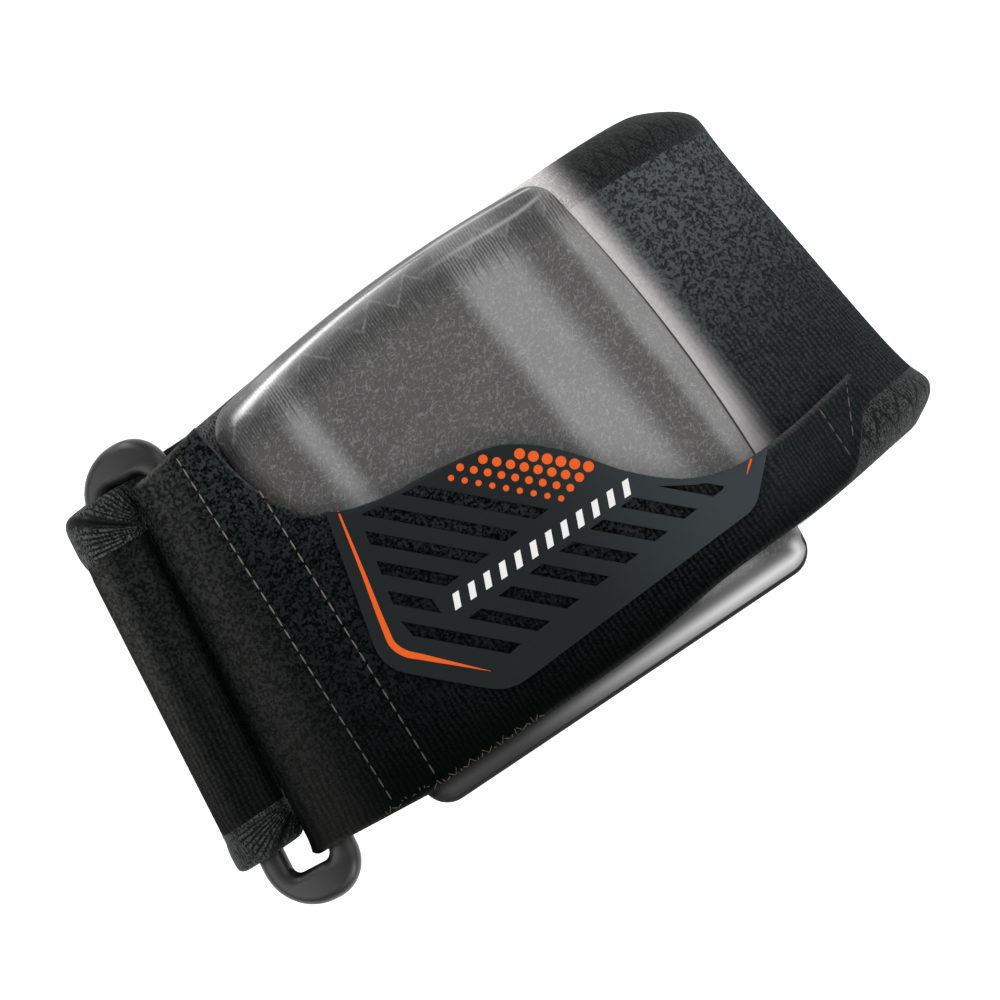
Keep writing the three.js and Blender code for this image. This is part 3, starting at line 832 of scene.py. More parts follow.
class Shade:
    """A number on a shader's socket. Arithmetic on it adds Math nodes."""

    def __init__(self, finish, socket):
        self.finish = finish
        self.socket = socket

    def math(self, operation, *values):
        return self.finish.node("ShaderNodeMath", {"operation": operation}, dict(enumerate(values)))

    def __add__(self, other):
        return self.math("ADD", self, other)

    def __radd__(self, other):
        return self.math("ADD", other, self)

    def __sub__(self, other):
        return self.math("SUBTRACT", self, other)

    def __rsub__(self, other):
        return self.math("SUBTRACT", other, self)

    def __mul__(self, other):
        return self.math("MULTIPLY", self, other)

    def __truediv__(self, other):
        return self.math("DIVIDE", self, other)

    def __pow__(self, other):
        return self.math("POWER", self, other)

    def __abs__(self):
        return self.math("ABSOLUTE", self)

    def sine(self):
        return self.math("SINE", self)

    def wave(self):
        """From 0 to 1 and back while the value goes through one turn."""
        return self.sine() * 0.5 + 0.5

    def zigzag(self, half):
        """Rises over half a zigzag and falls over the next half."""
        return self.math("PINGPONG", self, half)

    def most(self, other):
        return self.math("MAXIMUM", self, other)

    def smooth(self, low, high):
        """0 below low and 1 above high, smooth between them."""
        settings = {"interpolation_type": "SMOOTHSTEP"}
        return self.finish.node("ShaderNodeMapRange", settings, {0: self, 1: low, 2: high})

    def band(self, middle, half, soft):
        """1 within half of the middle, falling to 0 over a soft edge."""
        return 1 - abs(self - middle).smooth(half - soft / 2, half + soft / 2)


class Finish:
    """A material whose nodes are written as expressions."""

    def __init__(self, name, **values):
        self.material = bpy.data.materials.new(name)
        self.material.use_nodes = True
        self.tree = self.material.node_tree
        self.shader = self.tree.nodes["Principled BSDF"]
        self.put(**values)

    def feed(self, socket, value):
        if isinstance(value, Shade):
            self.tree.links.new(value.socket, socket)
        else:
            socket.default_value = value

    def node(self, kind, settings=None, inputs=None, output=0):
        """Adds a node of a kind: its settings first, then the values or links of its sockets."""
        made = self.tree.nodes.new(kind)
        for key, value in (settings or {}).items():
            setattr(made, key, value)
        for key, value in (inputs or {}).items():
            self.feed(made.inputs[key], value)
        return Shade(self, made.outputs[output])

    def put(self, **values):
        """Sets the shader's own sockets: base_color for Base Color, and so on."""
        for key, value in values.items():
            socket = self.shader.inputs[key.replace("_", " ").title().replace("Ior", "IOR")]
            self.feed(socket, value)

    def parts(self, vector):
        split = self.node("ShaderNodeSeparateXYZ", None, {0: vector}).socket.node
        return [Shade(self, socket) for socket in split.outputs]

    def place(self):
        """Coordinates on the part in millimetres from the photo's middle."""
        x, y, z = self.parts(self.node("ShaderNodeTexCoord", None, None, "Object"))
        return (x - float(PHOTO_MIDDLE[0])) / MM, (y - float(PHOTO_MIDDLE[1])) / MM, z / MM

    def cloth(self):
        """Coordinates along and across the flat cloth in millimetres."""
        u, v, _ = self.parts(self.node("ShaderNodeUVMap", {"uv_map": "cloth"}))
        return u * CLOTH_UV, v * CLOTH_UV

    def marked(self, name):
        """A value that the piece's points carry."""
        return self.node("ShaderNodeAttribute", {"attribute_name": name}, None, "Fac")

    def noise(self, size, detail=2.0, distortion=0.0, seed=0.0, lie=None):
        """Noise with lumps of about a size in millimetres, drawn out along any lie in degrees."""
        place = self.node("ShaderNodeTexCoord", None, None, "Object")
        if lie is not None:
            stretch = 3
            drawn = {"Vector": place, "Rotation": (0, 0, math.radians(lie)), "Scale": (stretch, 1, 1)}
            place = self.node("ShaderNodeMapping", {"vector_type": "TEXTURE"}, drawn)
        values = {
            "Vector": place,
            "W": seed,
            "Scale": 1 / (size * MM),
            "Detail": detail,
            "Distortion": distortion,
        }
        return self.node("ShaderNodeTexNoise", {"noise_dimensions": "4D"}, values)

    def mix(self, factor, first, second):
        """Colour between two colours."""
        colours = {0: factor}
        for key, value in ((6, first), (7, second)):
            colours[key] = value if isinstance(value, Shade) else (*value, 1)
        return self.node("ShaderNodeMix", {"data_type": "RGBA"}, colours, 2)

    def bump(self, height, depth):
        """Relief of a height from 0 to 1, of a depth in millimetres."""
        values = {"Height": height, "Strength": 1, "Distance": depth * MM}
        self.put(normal=self.node("ShaderNodeBump", None, values))


def dimmed(ink, share):
    return [part * share for part in ink]


def on_front(z):
    """Share of the front, by the height over the floor."""
    return z.smooth(30, 36)


def beside_pad(x, y, z, low, high):
    """Share of the cloth along the pad's left edge, from low to high along the arm, where light is painted
    on it.
    """
    return x.band(-33.0, 4.0, 3.0) * y.smooth(low, high) * on_front(z)


def satin_strip(x, y, z):
    """Share of the smooth strip on the front, from the pad's right edge outwards, where a reflection is
    painted.
    """
    pad = sizes().pad
    bow = (y - pad.right_peak_y / MM) ** 2 * (pad.right_bow * MM)
    beyond = x - (pad.right / MM) + bow
    return (1 - beyond.smooth(-1.5, 7.2)) * on_front(z) * x.smooth(20, 24)


def knit_relief(finish, y, ribs_end, ribs_start):
    """Worm-like grains of crepe knit, which turn into ribs from ribs_start to ribs_end, and their tone."""
    rib_pitch, course_pitch, most_ribbed = 0.92, 0.7, 0.62
    worm_share, thread_turns = 0.4, 12
    u, v = finish.cloth()
    wander = finish.noise(3.0, 2.0, 0.0, 3.0)
    worms = finish.noise(0.45, 0.0, 0.4)
    threads = (finish.noise(0.62, 0.0, 0.4, 5.0) * thread_turns).wave()
    grains = worms.smooth(0.3, 0.7) * worm_share + threads * (1 - worm_share)
    columns = (u * (TURN / rib_pitch) + wander * 9).wave()
    courses = (v * (TURN / course_pitch) + worms * 5 + wander * 6).wave()
    ribbed = (1 - (y + wander * 10).smooth(ribs_end + 5, ribs_start + 5)) * most_ribbed
    relief = grains * (1 - ribbed) + columns * (courses * 0.6 + 0.4) * ribbed
    broad = finish.noise(11.0, 2.0, 0.0, 7.0)
    return relief, relief.smooth(0.05, 0.95) * (0.55 + broad * 0.72)


def sleeve_finish():
    """Crepe knit with painted light by the narrow rim and along its folds, painted shade by the ring, and a
    painted reflection beside the pad.
    """
    colours = sizes().colours
    finish = Finish("sleeve_knit", specular_ior_level=0.02)
    x, y, z = finish.place()
    relief, tone = knit_relief(finish, y, -8, 14)
    mark = finish.marked("mark")
    outside = mark.smooth(-0.6, -0.4)
    # Painted light: the knit is lit towards the narrow rim on the right.
    lit = x.smooth(30, 45) * y.smooth(-16, 37)
    # Painted shade: left of the middle, and most on the wrap by the ring, the knit takes darker colours and
    # a darker tone.
    right = x.smooth(-45, 20)
    hollow = finish.mix(right, colours.knit_black, colours.knit_dark)
    bright = finish.mix(lit, colours.knit_light, colours.knit_lit)
    grain = finish.mix(right, colours.knit_shade, bright)
    by_ring = 1 - x.smooth(-50, -46)
    tone = tone * (1 + right * 0.2 - by_ring * (0.65 - y.smooth(-28, 24) * 0.4))
    base = finish.mix(tone + lit * 0.12, hollow, grain)
    # Painted light: pale along the folds that the mark carries, and beside the pad's left edge.
    by_pad = beside_pad(x, y, z, 18, 24) * 0.5
    base = finish.mix(mark.most(by_pad) * (0.3 + relief * 0.7), base, colours.knit_painted_light)
    # Painted reflection: the smooth strip beside the pad turns near-white, brightest at the pad's edge.
    strip = satin_strip(x, y, z) * outside
    shine = strip**2.6
    base = finish.mix(shine * (0.86 + relief * 0.14), base, colours.satin)
    finish.put(base_color=base, roughness=0.95 - relief * 0.1 - shine * 0.5)
    finish.bump(relief * (1 - strip.smooth(0.1, 0.7)), 0.045)
    return finish.material


def strap_finish():
    """Crepe knit with painted shade low down and towards the lower left, and painted light along its edges
    and its turn.
    """
    colours = sizes().colours
    finish = Finish("strap_knit", specular_ior_level=0.006)
    x, y, _ = finish.place()
    tipward = x.smooth(18, 40)
    relief, tone = knit_relief(finish, y - tipward * 24, -26, -10)
    tone = tone + (0.65 - tone) * tipward * 0.45
    # Painted shade: the grains darken and the knit fades towards black low down and towards the lower left.
    from_low_left = y + x * 0.75
    grain = finish.mix(from_low_left.smooth(-20, 10), colours.knit_shade, colours.knit_light)
    lit = (y.smooth(-33, -20) * 0.9 + 0.1) * (from_low_left.smooth(-62, 0) * 0.7 + 0.3)
    base = finish.mix(tone * lit, colours.knit_black, grain)
    base = finish.mix(finish.marked("mark") * (0.4 + relief * 0.6), base, colours.knit_painted_light)
    finish.put(base_color=base, roughness=0.95 - relief * 0.1)
    finish.bump(relief, 0.04)
    return finish.material


def hem_finish():
    """Gathered elastic: zigzag creases over fine wrinkles, with painted shade in the creases and painted
    light on ridges.
    """
    colours = sizes().colours
    finish = Finish("hem", specular_ior_level=0.12)
    x, y, z = finish.place()
    u, v = finish.cloth()
    ridge_pitch = 0.55
    wander = finish.noise(2.6, 2.0, 0.8, 5.0)
    ridges = (u * (TURN / ridge_pitch) + wander * 9 + v * 0.5).wave()
    wrinkles = finish.noise(0.6, 3.0, 1.6, 2.0).smooth(0.4, 0.62)
    # Painted shade in the creases and furrows that the mark carries.
    crease = finish.marked("mark")
    relief = ((ridges * 0.35 + wrinkles * 0.65) * (1 - crease)).smooth(0.12, 0.75)
    by_tip = x.smooth(40, 58) * (1 - y.smooth(-22, -8))
    by_ring = (1 - x.smooth(-50, -44)) * (y.smooth(-26, 24) * 0.5 + 0.5)
    lit = by_tip * 0.45 + by_ring + beside_pad(x, y, z, 24, 28) * 0.9
    ridge = finish.mix(lit, colours.hem_light, colours.hem_pale)
    base = finish.mix(relief * (0.45 + wander * 0.8), colours.hem_dark, ridge)
    # Painted reflection: the hem takes the same near-white in the smooth strip beside the pad.
    shine = satin_strip(x, y, z) ** 2.5 * 0.92
    base = finish.mix(shine * (0.75 + relief * 0.25), base, colours.satin)
    finish.put(base_color=base, roughness=0.75 - shine * 0.3)
    finish.bump(relief, 0.1)
    return finish.material


FIBRE_LIES = (-12.0, 18.0, 44.0, 72.0)


def fibres(finish, lie):
    """Short hair-like strands along a lie in degrees: broken lines of equal value in a drawn-out noise."""
    strands = 1 - abs(finish.noise(0.7, 0.0, 0.12, lie, lie) - 0.5).smooth(0.006, 0.036)
    return strands * finish.noise(0.6, 0.0, 0.0, lie + 1).smooth(0.46, 0.58)


def pad_smoke(finish, x, y):
    """Tone of the gel from dark to light, with three light streaks across the pad that are painted
    reflections of the softboxes, and the fibres in it.
    """
    slant = 0.08
    cloud = finish.noise(9.0, 2.0, 0.3, 1.0)
    run = x + (y - 8) * slant + (cloud - 0.5) * 0.8
    # Painted reflections: three light streaks where the softboxes show in the pad.
    left = run.band(-17.8, 2.0, 3.8)
    middle = run.smooth(13.0, 17.0) * (1 - run.smooth(23.0, 28.5))
    right = run.smooth(31.5, 34.0)
    streaks = left * 0.66 + middle * 0.7 + right * 0.58
    strands = fibres(finish, FIBRE_LIES[0])
    for lie in FIBRE_LIES[1:]:
        strands = strands.most(fibres(finish, lie))
    return streaks * 0.95 + (cloud - 0.5) * 0.25 + strands * 0.36, strands


def pad_hem(finish, x, from_top):
    """The narrow hem that shows through the pad's end: its share, its gathers and its zigzag stitches."""
    comb_pitch, long_pitch, short_pitch = 0.52, 1.9, 0.83
    zigzag_half, zigzag_slope, zigzag_start = 3.38, 1.07, 2.0
    ragged = finish.noise(1.1, 2.0, 0.0, 8.0)
    comb = (x * (TURN / comb_pitch) + ragged * 6).wave()
    ends = (x * (TURN / long_pitch)).sine() * 0.6 + (x * (TURN / short_pitch)).sine() * 0.7
    hem = from_top.smooth(0.3, 1.5) * (1 - (from_top + ends + ragged * 2).smooth(6.5, 11.5))
    zigzag = from_top - zigzag_start - x.zigzag(zigzag_half) * zigzag_slope
    gathers = comb.smooth(0.1, 0.9) * (0.3 + zigzag.smooth(0.0, 0.8) * 0.3)
    stitches = (1 - abs(zigzag).smooth(0.1, 0.45)) * ragged.smooth(0.4, 0.6)
    return hem, gathers, stitches


def pad_highlights(x, from_top):
    """Two fine painted highlights along the pad's narrow end."""
    bend = (x - 24).most(0) ** 2 * 0.016
    outer = from_top.band(0.7, 0.12, 0.3) * 0.6
    inner = (from_top + bend).band(3.5, 0.2, 0.9) * x.smooth(4, 24) * 0.42
    return (outer + inner) * x.smooth(-6, 14) * (1 - x.smooth(30.5, 33))


def pad_finish():
    """Smoke-grey gel full of fibres, with painted reflections, the narrow hem seen through its end, and a
    painted reflection on its dark lower rim.
    """
    colours, pad = sizes().colours, sizes().pad
    finish = Finish("gel_pad", specular_ior_level=0.2, coat_roughness=0.2, coat_ior=1.75)
    x, y, _ = finish.place()
    inward = finish.marked("rim") / MM
    from_top = pad.top / MM - (x - pad.top_peak_x / MM) ** 2 * (pad.top_bow * MM) - y
    tone, strands = pad_smoke(finish, x, y)
    hem, gathers, stitches = pad_hem(finish, x, from_top)
    base = finish.mix(tone, colours.pad_dark, colours.pad_light)
    base = finish.mix(hem * (0.28 + gathers), base, colours.pad_hem)
    base = finish.mix(stitches * hem * 0.28, base, colours.pad_light)
    base = finish.mix(pad_highlights(x, from_top), base, colours.pad_reflection)
    lower = 1 - (y + x * 0.012).smooth(-31.5, -29.5)
    # Painted reflection: the lower rim turns bright towards its right end, over the dark rim colour.
    painted_reflection = inward.band(2.1, 0.7, 1.7) * 0.58 + (1 - inward.smooth(1.6, 6.2)) * 0.36
    painted_reflection = painted_reflection * (x.smooth(-21, 30) * 0.93 + x.smooth(-35, -31) * 0.07)
    base = finish.mix(lower, base, finish.mix(painted_reflection, colours.pad_rim, colours.pad_reflection))
    outline = 1 - inward.smooth(0.2 + lower * 0.35, 0.5 + lower * 0.35)
    base = finish.mix(outline, base, colours.pad_rim)
    film = (1 - from_top.smooth(3.5, 5.5)) * x.smooth(-30, -25) * (1 - x.smooth(26, 32))
    film = film * (from_top.smooth(0.4, 1.8) * 0.8 + 0.2)
    finish.put(base_color=base, roughness=0.4 + lower * 0.5, coat_weight=film)
    finish.bump(hem * (stitches - gathers) + strands * 0.2, 0.03)
    return finish.material


def patch_finish():
    """Slate moulded rubber with a satin skin, lighter towards its right end with painted light."""
    colours = sizes().colours
    finish = Finish("patch", specular_ior_level=0.06)
    x, _, _ = finish.place()
    mottle = finish.noise(2.4, 4.0, 0.3, 2.0)
    grain = finish.noise(0.28, 2.0, 0.0, 4.0)
    # Painted light: the slate lightens towards the right end; the mottle and grain are its own.
    tone = x.smooth(0, 34) + (mottle - 0.5) * 0.15 + (grain - 0.5) * 0.15
    finish.put(base_color=finish.mix(tone, colours.patch_dark, colours.patch_light))
    finish.put(roughness=0.5 + (mottle - 0.5) * 0.2)
    finish.bump(grain, 0.02)
    return finish.material


def ring_finish():
    """Satin moulded plastic with a fine grain."""
    finish = Finish("ring", specular_ior_level=0.35)
    ring = sizes().colours.ring
    mottle = finish.noise(6.0, 3.0, 0.0, 1.0)
    grain = finish.noise(0.3, 2.0, 0.0, 3.0)
    finish.put(base_color=finish.mix(mottle, dimmed(ring, 0.7), dimmed(ring, 1.15)))
    finish.put(roughness=0.36 + (grain - 0.5) * 0.12)
    finish.bump(grain, 0.015)
    return finish.material


def thread_finish():
    """Spun thread, darker towards the strap's lower edge."""
    finish = Finish("thread", specular_ior_level=0.1)
    thread = sizes().colours.thread
    _, y, _ = finish.place()
    spin = finish.noise(0.35, 2.0, 0.5, 1.0)
    tone = spin * 0.3 + y.smooth(-34, 14) * 0.7
    finish.put(base_color=finish.mix(tone, dimmed(thread, 0.2), thread), roughness=0.8)
    finish.bump(spin, 0.05)
    return finish.material


def print_finish(name, ink):
    """Flat ink on the patch, slightly uneven."""
    finish = Finish(name, specular_ior_level=0.1)
    grain = finish.noise(0.5, 3.0, 0.0, 1.0)
    finish.put(base_color=finish.mix(grain, dimmed(ink, 0.9), ink))
    finish.put(roughness=0.45 + grain * 0.1)
    return finish.material


# Pieces


class ELBOW_OT_sleeve(bpy.types.Operator):
    """Make the knit-faced foam band that goes round the arm and turns round the ring's left bar"""

    bl_idname = "elbow_support.sleeve"
    bl_label = "Make Sleeve"

    def execute(self, context):
        sleeve = sizes().sleeve
        run = path_length(sleeve_path, SLEEVE_LAST, 0.0)
        edge_radius = 0.05 * MM

        def spread(along, around):
            station = along * SLEEVE_LAST
            across, reach, depth = slab_section(around, 0.5)
            turn = sleeve_turn(station)
            seam_low = lower_rim(turn) + sleeve.hem_width + edge_radius
            seam_high = upper_rim(turn) - sleeve.hem_width - edge_radius
            return station, lerp(seam_low, seam_high, across) + reach * edge_radius, depth

        def place(along, around):
            station, y, depth = spread(along, around)
            turn = sleeve_turn(station)
            at_lower, at_upper = seam_shares(turn, y)
            sink = hem_sink(at_lower, turn, 0, sleeve.lower_puff)
            sink = sink + hem_sink(at_upper, turn, 0, sleeve.upper_puff)
            at = sleeve_point(station, y, np.zeros_like(y))
            fans, _ = corner_fans(at[..., 0], y, station)
            swell = fans + fold_swell(station, *BAND_FOLD)
            below = sleeve.wall * depth + sink * curl_share(station) - swell * (1 - depth)
            return sleeve_point(station, y, below)

        def flat(along, around):
            station, y, _ = spread(along, around)
            return cloth_place(run, station, y)

        # Painted light: pale lines along the wrap's turn and by the strap's fold, stronger towards the
        # narrow rim; -1 on the inner faces.
        def pale(along, around):
            station, y, depth = spread(along, around)
            turn = 0.4 * bell(station, PAINTED_LIGHT_TURN, 1) + 0.1 * bell(station, PAINTED_LIGHT_FOLD, 1)
            painted_light_share = 0.35 + 0.75 * smoothstep(y, -25 * MM, 15 * MM)
            return np.where(depth < 0.5, turn * painted_light_share, -1)

        bm = cloth_band(SLEEVE_LAST * sizes().fineness, SLEEVE_AROUND, place, flat, pale)
        make_piece(bm, "sleeve", sleeve_finish(), 60, ["sleeve_body"])
        return {"FINISHED"}


class ELBOW_OT_hems(bpy.types.Operator):
    """Make the rolled, gathered hems along both rims of the sleeve"""

    bl_idname = "elbow_support.hems"
    bl_label = "Make Hems"

    def side_reach(self, side, turn):
        """Share of the reach past a rim: out at the sides, but in where the wide hem comes to the ring."""
        across = np.cos(np.radians(np.maximum(turn, -180)))
        return across**2 if side > 0 else across * np.abs(across)

    def hem(self, name, node, side, rim, curl, puff, material):
        sleeve = sizes().sleeve
        run = path_length(sleeve_path, SLEEVE_LAST, side * 30 * MM)
        seam_gap, seam_round, rim_round = -0.08 * MM, 0.05 * MM, sleeve.hem_wall * 0.4
        width = sleeve.hem_width - seam_gap
        fine_share = 0.38  # of the grid, for the folds by the ring
        calm_sides = 0.7  # share of the creases' depth that is lost at the loop's sides

        def spread(along, around):
            station = np.interp(along, [0, 1 - fine_share, 1], [0, OVAL_STEPS, SLEEVE_LAST])
            across, reach, depth = slab_section(around, 0.8)
            rounded = np.where(reach > 0, rim_round, seam_round)
            turn = sleeve_turn(station)
            past_rim = sleeve.hem_reach * self.side_reach(side, turn)
            inward = lerp(width - seam_round, rim_round - past_rim, across) - reach * rounded
            return station, turn, rim(turn) - side * inward, 1 - inward / width, depth

        def place(along, around):
            station, turn, y, share, depth = spread(along, around)
            share = np.maximum(share, 0)
            wall = lerp(sleeve.wall, sleeve.hem_wall, curl_share(station))
            sink = curl_share(station) * hem_sink(share, turn, curl, puff)
            at = sleeve_point(station, y, np.zeros_like(y))
            depth_share = 1 - calm_sides * np.cos(np.radians(turn)) ** 6
            creases = hem_creases(run(station), share, width) * curl_share(station) * depth_share
            fans, _ = corner_fans(at[..., 0], y, station)
            swell = fans + fold_swell(station, *BAND_FOLD)
            outer = (sleeve.gather_depth * creases - swell) * (1 - depth)
            return sleeve_point(station, y, sink + outer + depth * wall)

        # Painted shade: the hem's finish darkens its creases and the furrows of the fans with this mark.
        def crease(along, around):
            station, _, y, share, depth = spread(along, around)
            _, furrows = corner_fans(sleeve_point(station, y, np.zeros_like(y))[..., 0], y, station)
            creases = hem_creases(run(station), np.clip(share, 0, 1), width) * curl_share(station)
            return np.maximum(creases**2, furrows * 0.9) * (1 - depth)

        def flat(along, around):
            station, _, y, _, _ = spread(along, around)
            return cloth_place(run, station, y)

        along_steps = SLEEVE_LAST * sizes().fineness * HEM_FINENESS
        bm = cloth_band(along_steps, HEM_AROUND, place, flat, crease)
        return make_piece(bm, name, material, 70, [node])

    def execute(self, context):
        sleeve = sizes().sleeve
        material = hem_finish()
        upper, lower = (sleeve.upper_curl, sleeve.upper_puff), (sleeve.lower_curl, sleeve.lower_puff)
        hems = [
            self.hem("narrow_hem", "hem_upper", 1, upper_rim, *upper, material),
            self.hem("wide_hem", "hem_lower", -1, lower_rim, *lower, material),
        ]
        return {"FINISHED"}


class ELBOW_OT_pad(bpy.types.Operator):
    """Make the glossy gel pad on the front"""

    bl_idname = "elbow_support.pad"
    bl_label = "Make Pad"

    def outline(self, across, along):
        """Point of the pad's outline grid, and its distance from the rim."""
        pad = sizes().pad
        rough_y = lerp(pad.bottom_at_left, pad.top, along)
        left = lerp(pad.left_at_bottom, pad.left_at_top, along)
        right = pad.right - pad.right_bow * (rough_y - pad.right_peak_y) ** 2
        x = lerp(left, right, across)
        from_side = np.minimum(x - left, right - x)
        cut = np.maximum(0, pad.corner_radius - from_side)
        drop = pad.corner_radius - np.sqrt(np.maximum(pad.corner_radius**2 - cut**2, 0))
        top = pad.top - pad.top_bow * (x - pad.top_peak_x) ** 2 - drop
        bottom = lerp(pad.bottom_at_left, pad.bottom_at_right, across) + drop
        y = lerp(bottom, top, along)
        return x, y, np.minimum(np.minimum(from_side, y - bottom), top - y)

    def execute(self, context):
        pad, clearance = sizes().pad, sizes().strap.clearance
        grid_lines, seat = 150, 0.02 * MM
        bm = bmesh.new()
        bmesh.ops.create_grid(bm, x_segments=grid_lines, y_segments=grid_lines, size=0.5)
        across, along = grid_shares(bm)
        x, y, from_rim = self.outline(crowd_ends(across), crowd_ends(along))
        inset = 1 - np.clip(from_rim / pad.rim_round, 0, 1)
        crown = np.sqrt(1 - inset**2)
        height = pad.rim_height + (pad.thickness - pad.rim_height) * crown
        rim = bm.verts.layers.float.new("rim")
        top_verts = bm.verts[:]
        lower = bmesh.ops.extrude_face_region(bm, geom=bm.faces[:])["geom"]
        lower_verts = [item for item in lower if isinstance(item, bmesh.types.BMVert)]
        top = np.stack([x, y, front_height(x, y, clearance / 2 + height)], axis=-1) + PHOTO_MIDDLE
        base = np.stack([x, y, front_height(x, y, seat)], axis=-1) + PHOTO_MIDDLE
        below = {tuple(vert.co): vert for vert in lower_verts}
        for vert, high, low, inward in zip(top_verts, top, base, from_rim):
            below[tuple(vert.co)].co = low
            vert.co = high
            vert[rim] = inward
        piece = make_piece(bm, "gel_pad", pad_finish(), 50, ["pressure_pad"])
        return {"FINISHED"}


class ELBOW_OT_strap(bpy.types.Operator):
    """Make the shaped pull strap, from its tip across the pad and round the ring's right bar"""

    bl_idname = "elbow_support.strap"
    bl_label = "Make Strap"

    def execute(self, context):
        strap = sizes().strap
        run = path_length(strap_path, STRAP_LAST, -20 * MM)
        radius, least_flat = strap.thickness / 2, 0.05 * MM

        def spread(along, around):
            station = along * STRAP_LAST
            across, reach, depth = slab_section(around, 1)
            lower, upper = strap_edges(station)
            slim = np.minimum(radius, (upper - lower) / 2 - least_flat)
            return station, lerp(lower + slim, upper - slim, across) + reach * slim, depth

        def place(along, around):
            station, y, depth = spread(along, around)
            lower, upper = strap_edges(station)
            flat_top = strap_point(station, y, np.full_like(y, strap.thickness))
            bead = edge_bead(np.minimum(upper - y, y - lower))
            shape = bead - seam_grooves(flat_top[..., 0], y) + fold_swell(station, *STRAP_FOLD)
            return strap_point(station, y, (1 - depth) * (strap.thickness + shape))

        def flat(along, around):
            station, y, _ = spread(along, around)
            return cloth_place(run, station, y)

        # Painted light: a pale sheen along the strap's upper edge, its lower edge by the tip, and its turn
        # round the ring.
        def pale(along, around):
            station, y, _ = spread(along, around)
            lower, upper = strap_edges(station)
            x = strap_front_x(np.minimum(station, STRAP_FRONT_STEPS))
            by_tip = 0.3 + 0.7 * smoothstep(x, 46 * MM, 50 * MM)
            edge = bell(y, upper, 0.6 * MM)
            edge += by_tip * bell(y, lower, 0.5 * MM)
            painted_light_share = 0.15 + 0.03 * smoothstep(y, -20 * MM, 25 * MM)
            turn = painted_light_share * bell(station, STRAP_FOLD[0] - 1.5, 1.7)
            return np.minimum(1, 0.75 * edge * (station < STRAP_FOLD[0]) + turn)

        bm = cloth_band(STRAP_LAST * sizes().fineness, STRAP_AROUND, place, flat, pale)
        piece = make_piece(bm, "strap", strap_finish(), 60, ["pull_strap"])
        size = (run(STRAP_LAST), STRAP_WIDTH)
        area = size[0] * size[1] * STRAP_FILL
        return {"FINISHED"}


def round_corners(corners, steps=6):
    """Outline through corners in millimetres, each rounded by its radius, from the first to the last."""
    places = [np.array(corner[:2], float) for corner in corners]
    outline = []
    for before, here, after, (_, _, radius) in zip(places, places[1:], places[2:], corners[1:]):
        start = here + radius * unit(before - here)
        end = here + radius * unit(after - here)
        for share in np.linspace(0, 1, steps) if radius else [0.5]:
            outline.append(lerp(lerp(start, here, share), lerp(here, end, share), share))
    return outline


def clip(points, normal, limit):
    """Part of a polygon where normal . point is at most a limit."""
    kept = []
    sides = [normal.dot(point) - limit for point in points]
    for here, after, side, next_side in zip(points, points[1:] + points[:1], sides, sides[1:] + sides[:1]):
        if side <= 0:
            kept.append(here)
        if side * next_side < 0:
            kept.append(lerp(here, after, side / (side - next_side)))
    return kept


def drape(bm, lift):
    """Lays a sliced flat plate on the strap's outer face."""
    flat = np.array([vert.co[:] for vert in bm.verts])
    x, y = flat[:, 0], flat[:, 1]
    points = strap_top(x, y)
    points[:, 2] += flat[:, 2] + lift - edge_fall(x, y)
    move_points(bm, points)


class ELBOW_OT_patch(bpy.types.Operator):
    """Make the slotted rubber patch on the strap"""

    bl_idname = "elbow_support.patch"
    bl_label = "Make Patch"

    def outline(self):
        """The patch's corners, closed by the strap's wavy edge."""
        below = round_corners(PATCH_CORNERS)
        inset, right_end, left_end, samples, every = 0.15 * MM, 45, -30, 600, 6
        (x_top, y_top, _), (x_low, y_low, _) = PATCH_CORNERS[:2]
        xs = np.linspace(right_end, left_end, samples) * MM
        wavy = strap_upper_edge(xs) - inset
        left_line = lerp(y_low, y_top, (xs / MM - x_low) / (x_top - x_low)) * MM
        (x_right, y_right, _), (x_far, y_far, _) = PATCH_CORNERS[-2:]
        right_line = lerp(y_right, y_far, (xs / MM - x_right) / (x_far - x_right)) * MM
        inside = (left_line > wavy) & (right_line < wavy)
        edge = np.stack([xs, wavy], axis=-1)[inside][::every]
        return [point * MM for point in below] + list(edge)

    def slots(self):
        patch = sizes().patch
        across = heading(math.degrees(patch.slot_angle) + 90)
        slots = []
        for field in SLOT_FIELDS:
            corners = [np.array(corner) * MM for corner in field]
            for index in range(patch.slot_count):
                middle = patch.slot_start + index * patch.slot_pitch
                slot = clip(corners, across, middle + patch.slot_width / 2)
                slot = clip(slot, -across, patch.slot_width / 2 - middle) if slot else slot
                if len(slot) > 2:
                    slots.append(slot)
        return slots

    def execute(self, context):
        patch = sizes().patch
        sunk = 0.2 * MM
        bm = flat_plate([self.outline(), *self.slots()], patch.thickness + sunk, patch.edge)
        slice_plate(bm)
        drape(bm, -sunk)
        make_piece(bm, "patch", patch_finish(), 50, ["vent_patch"])
        return {"FINISHED"}


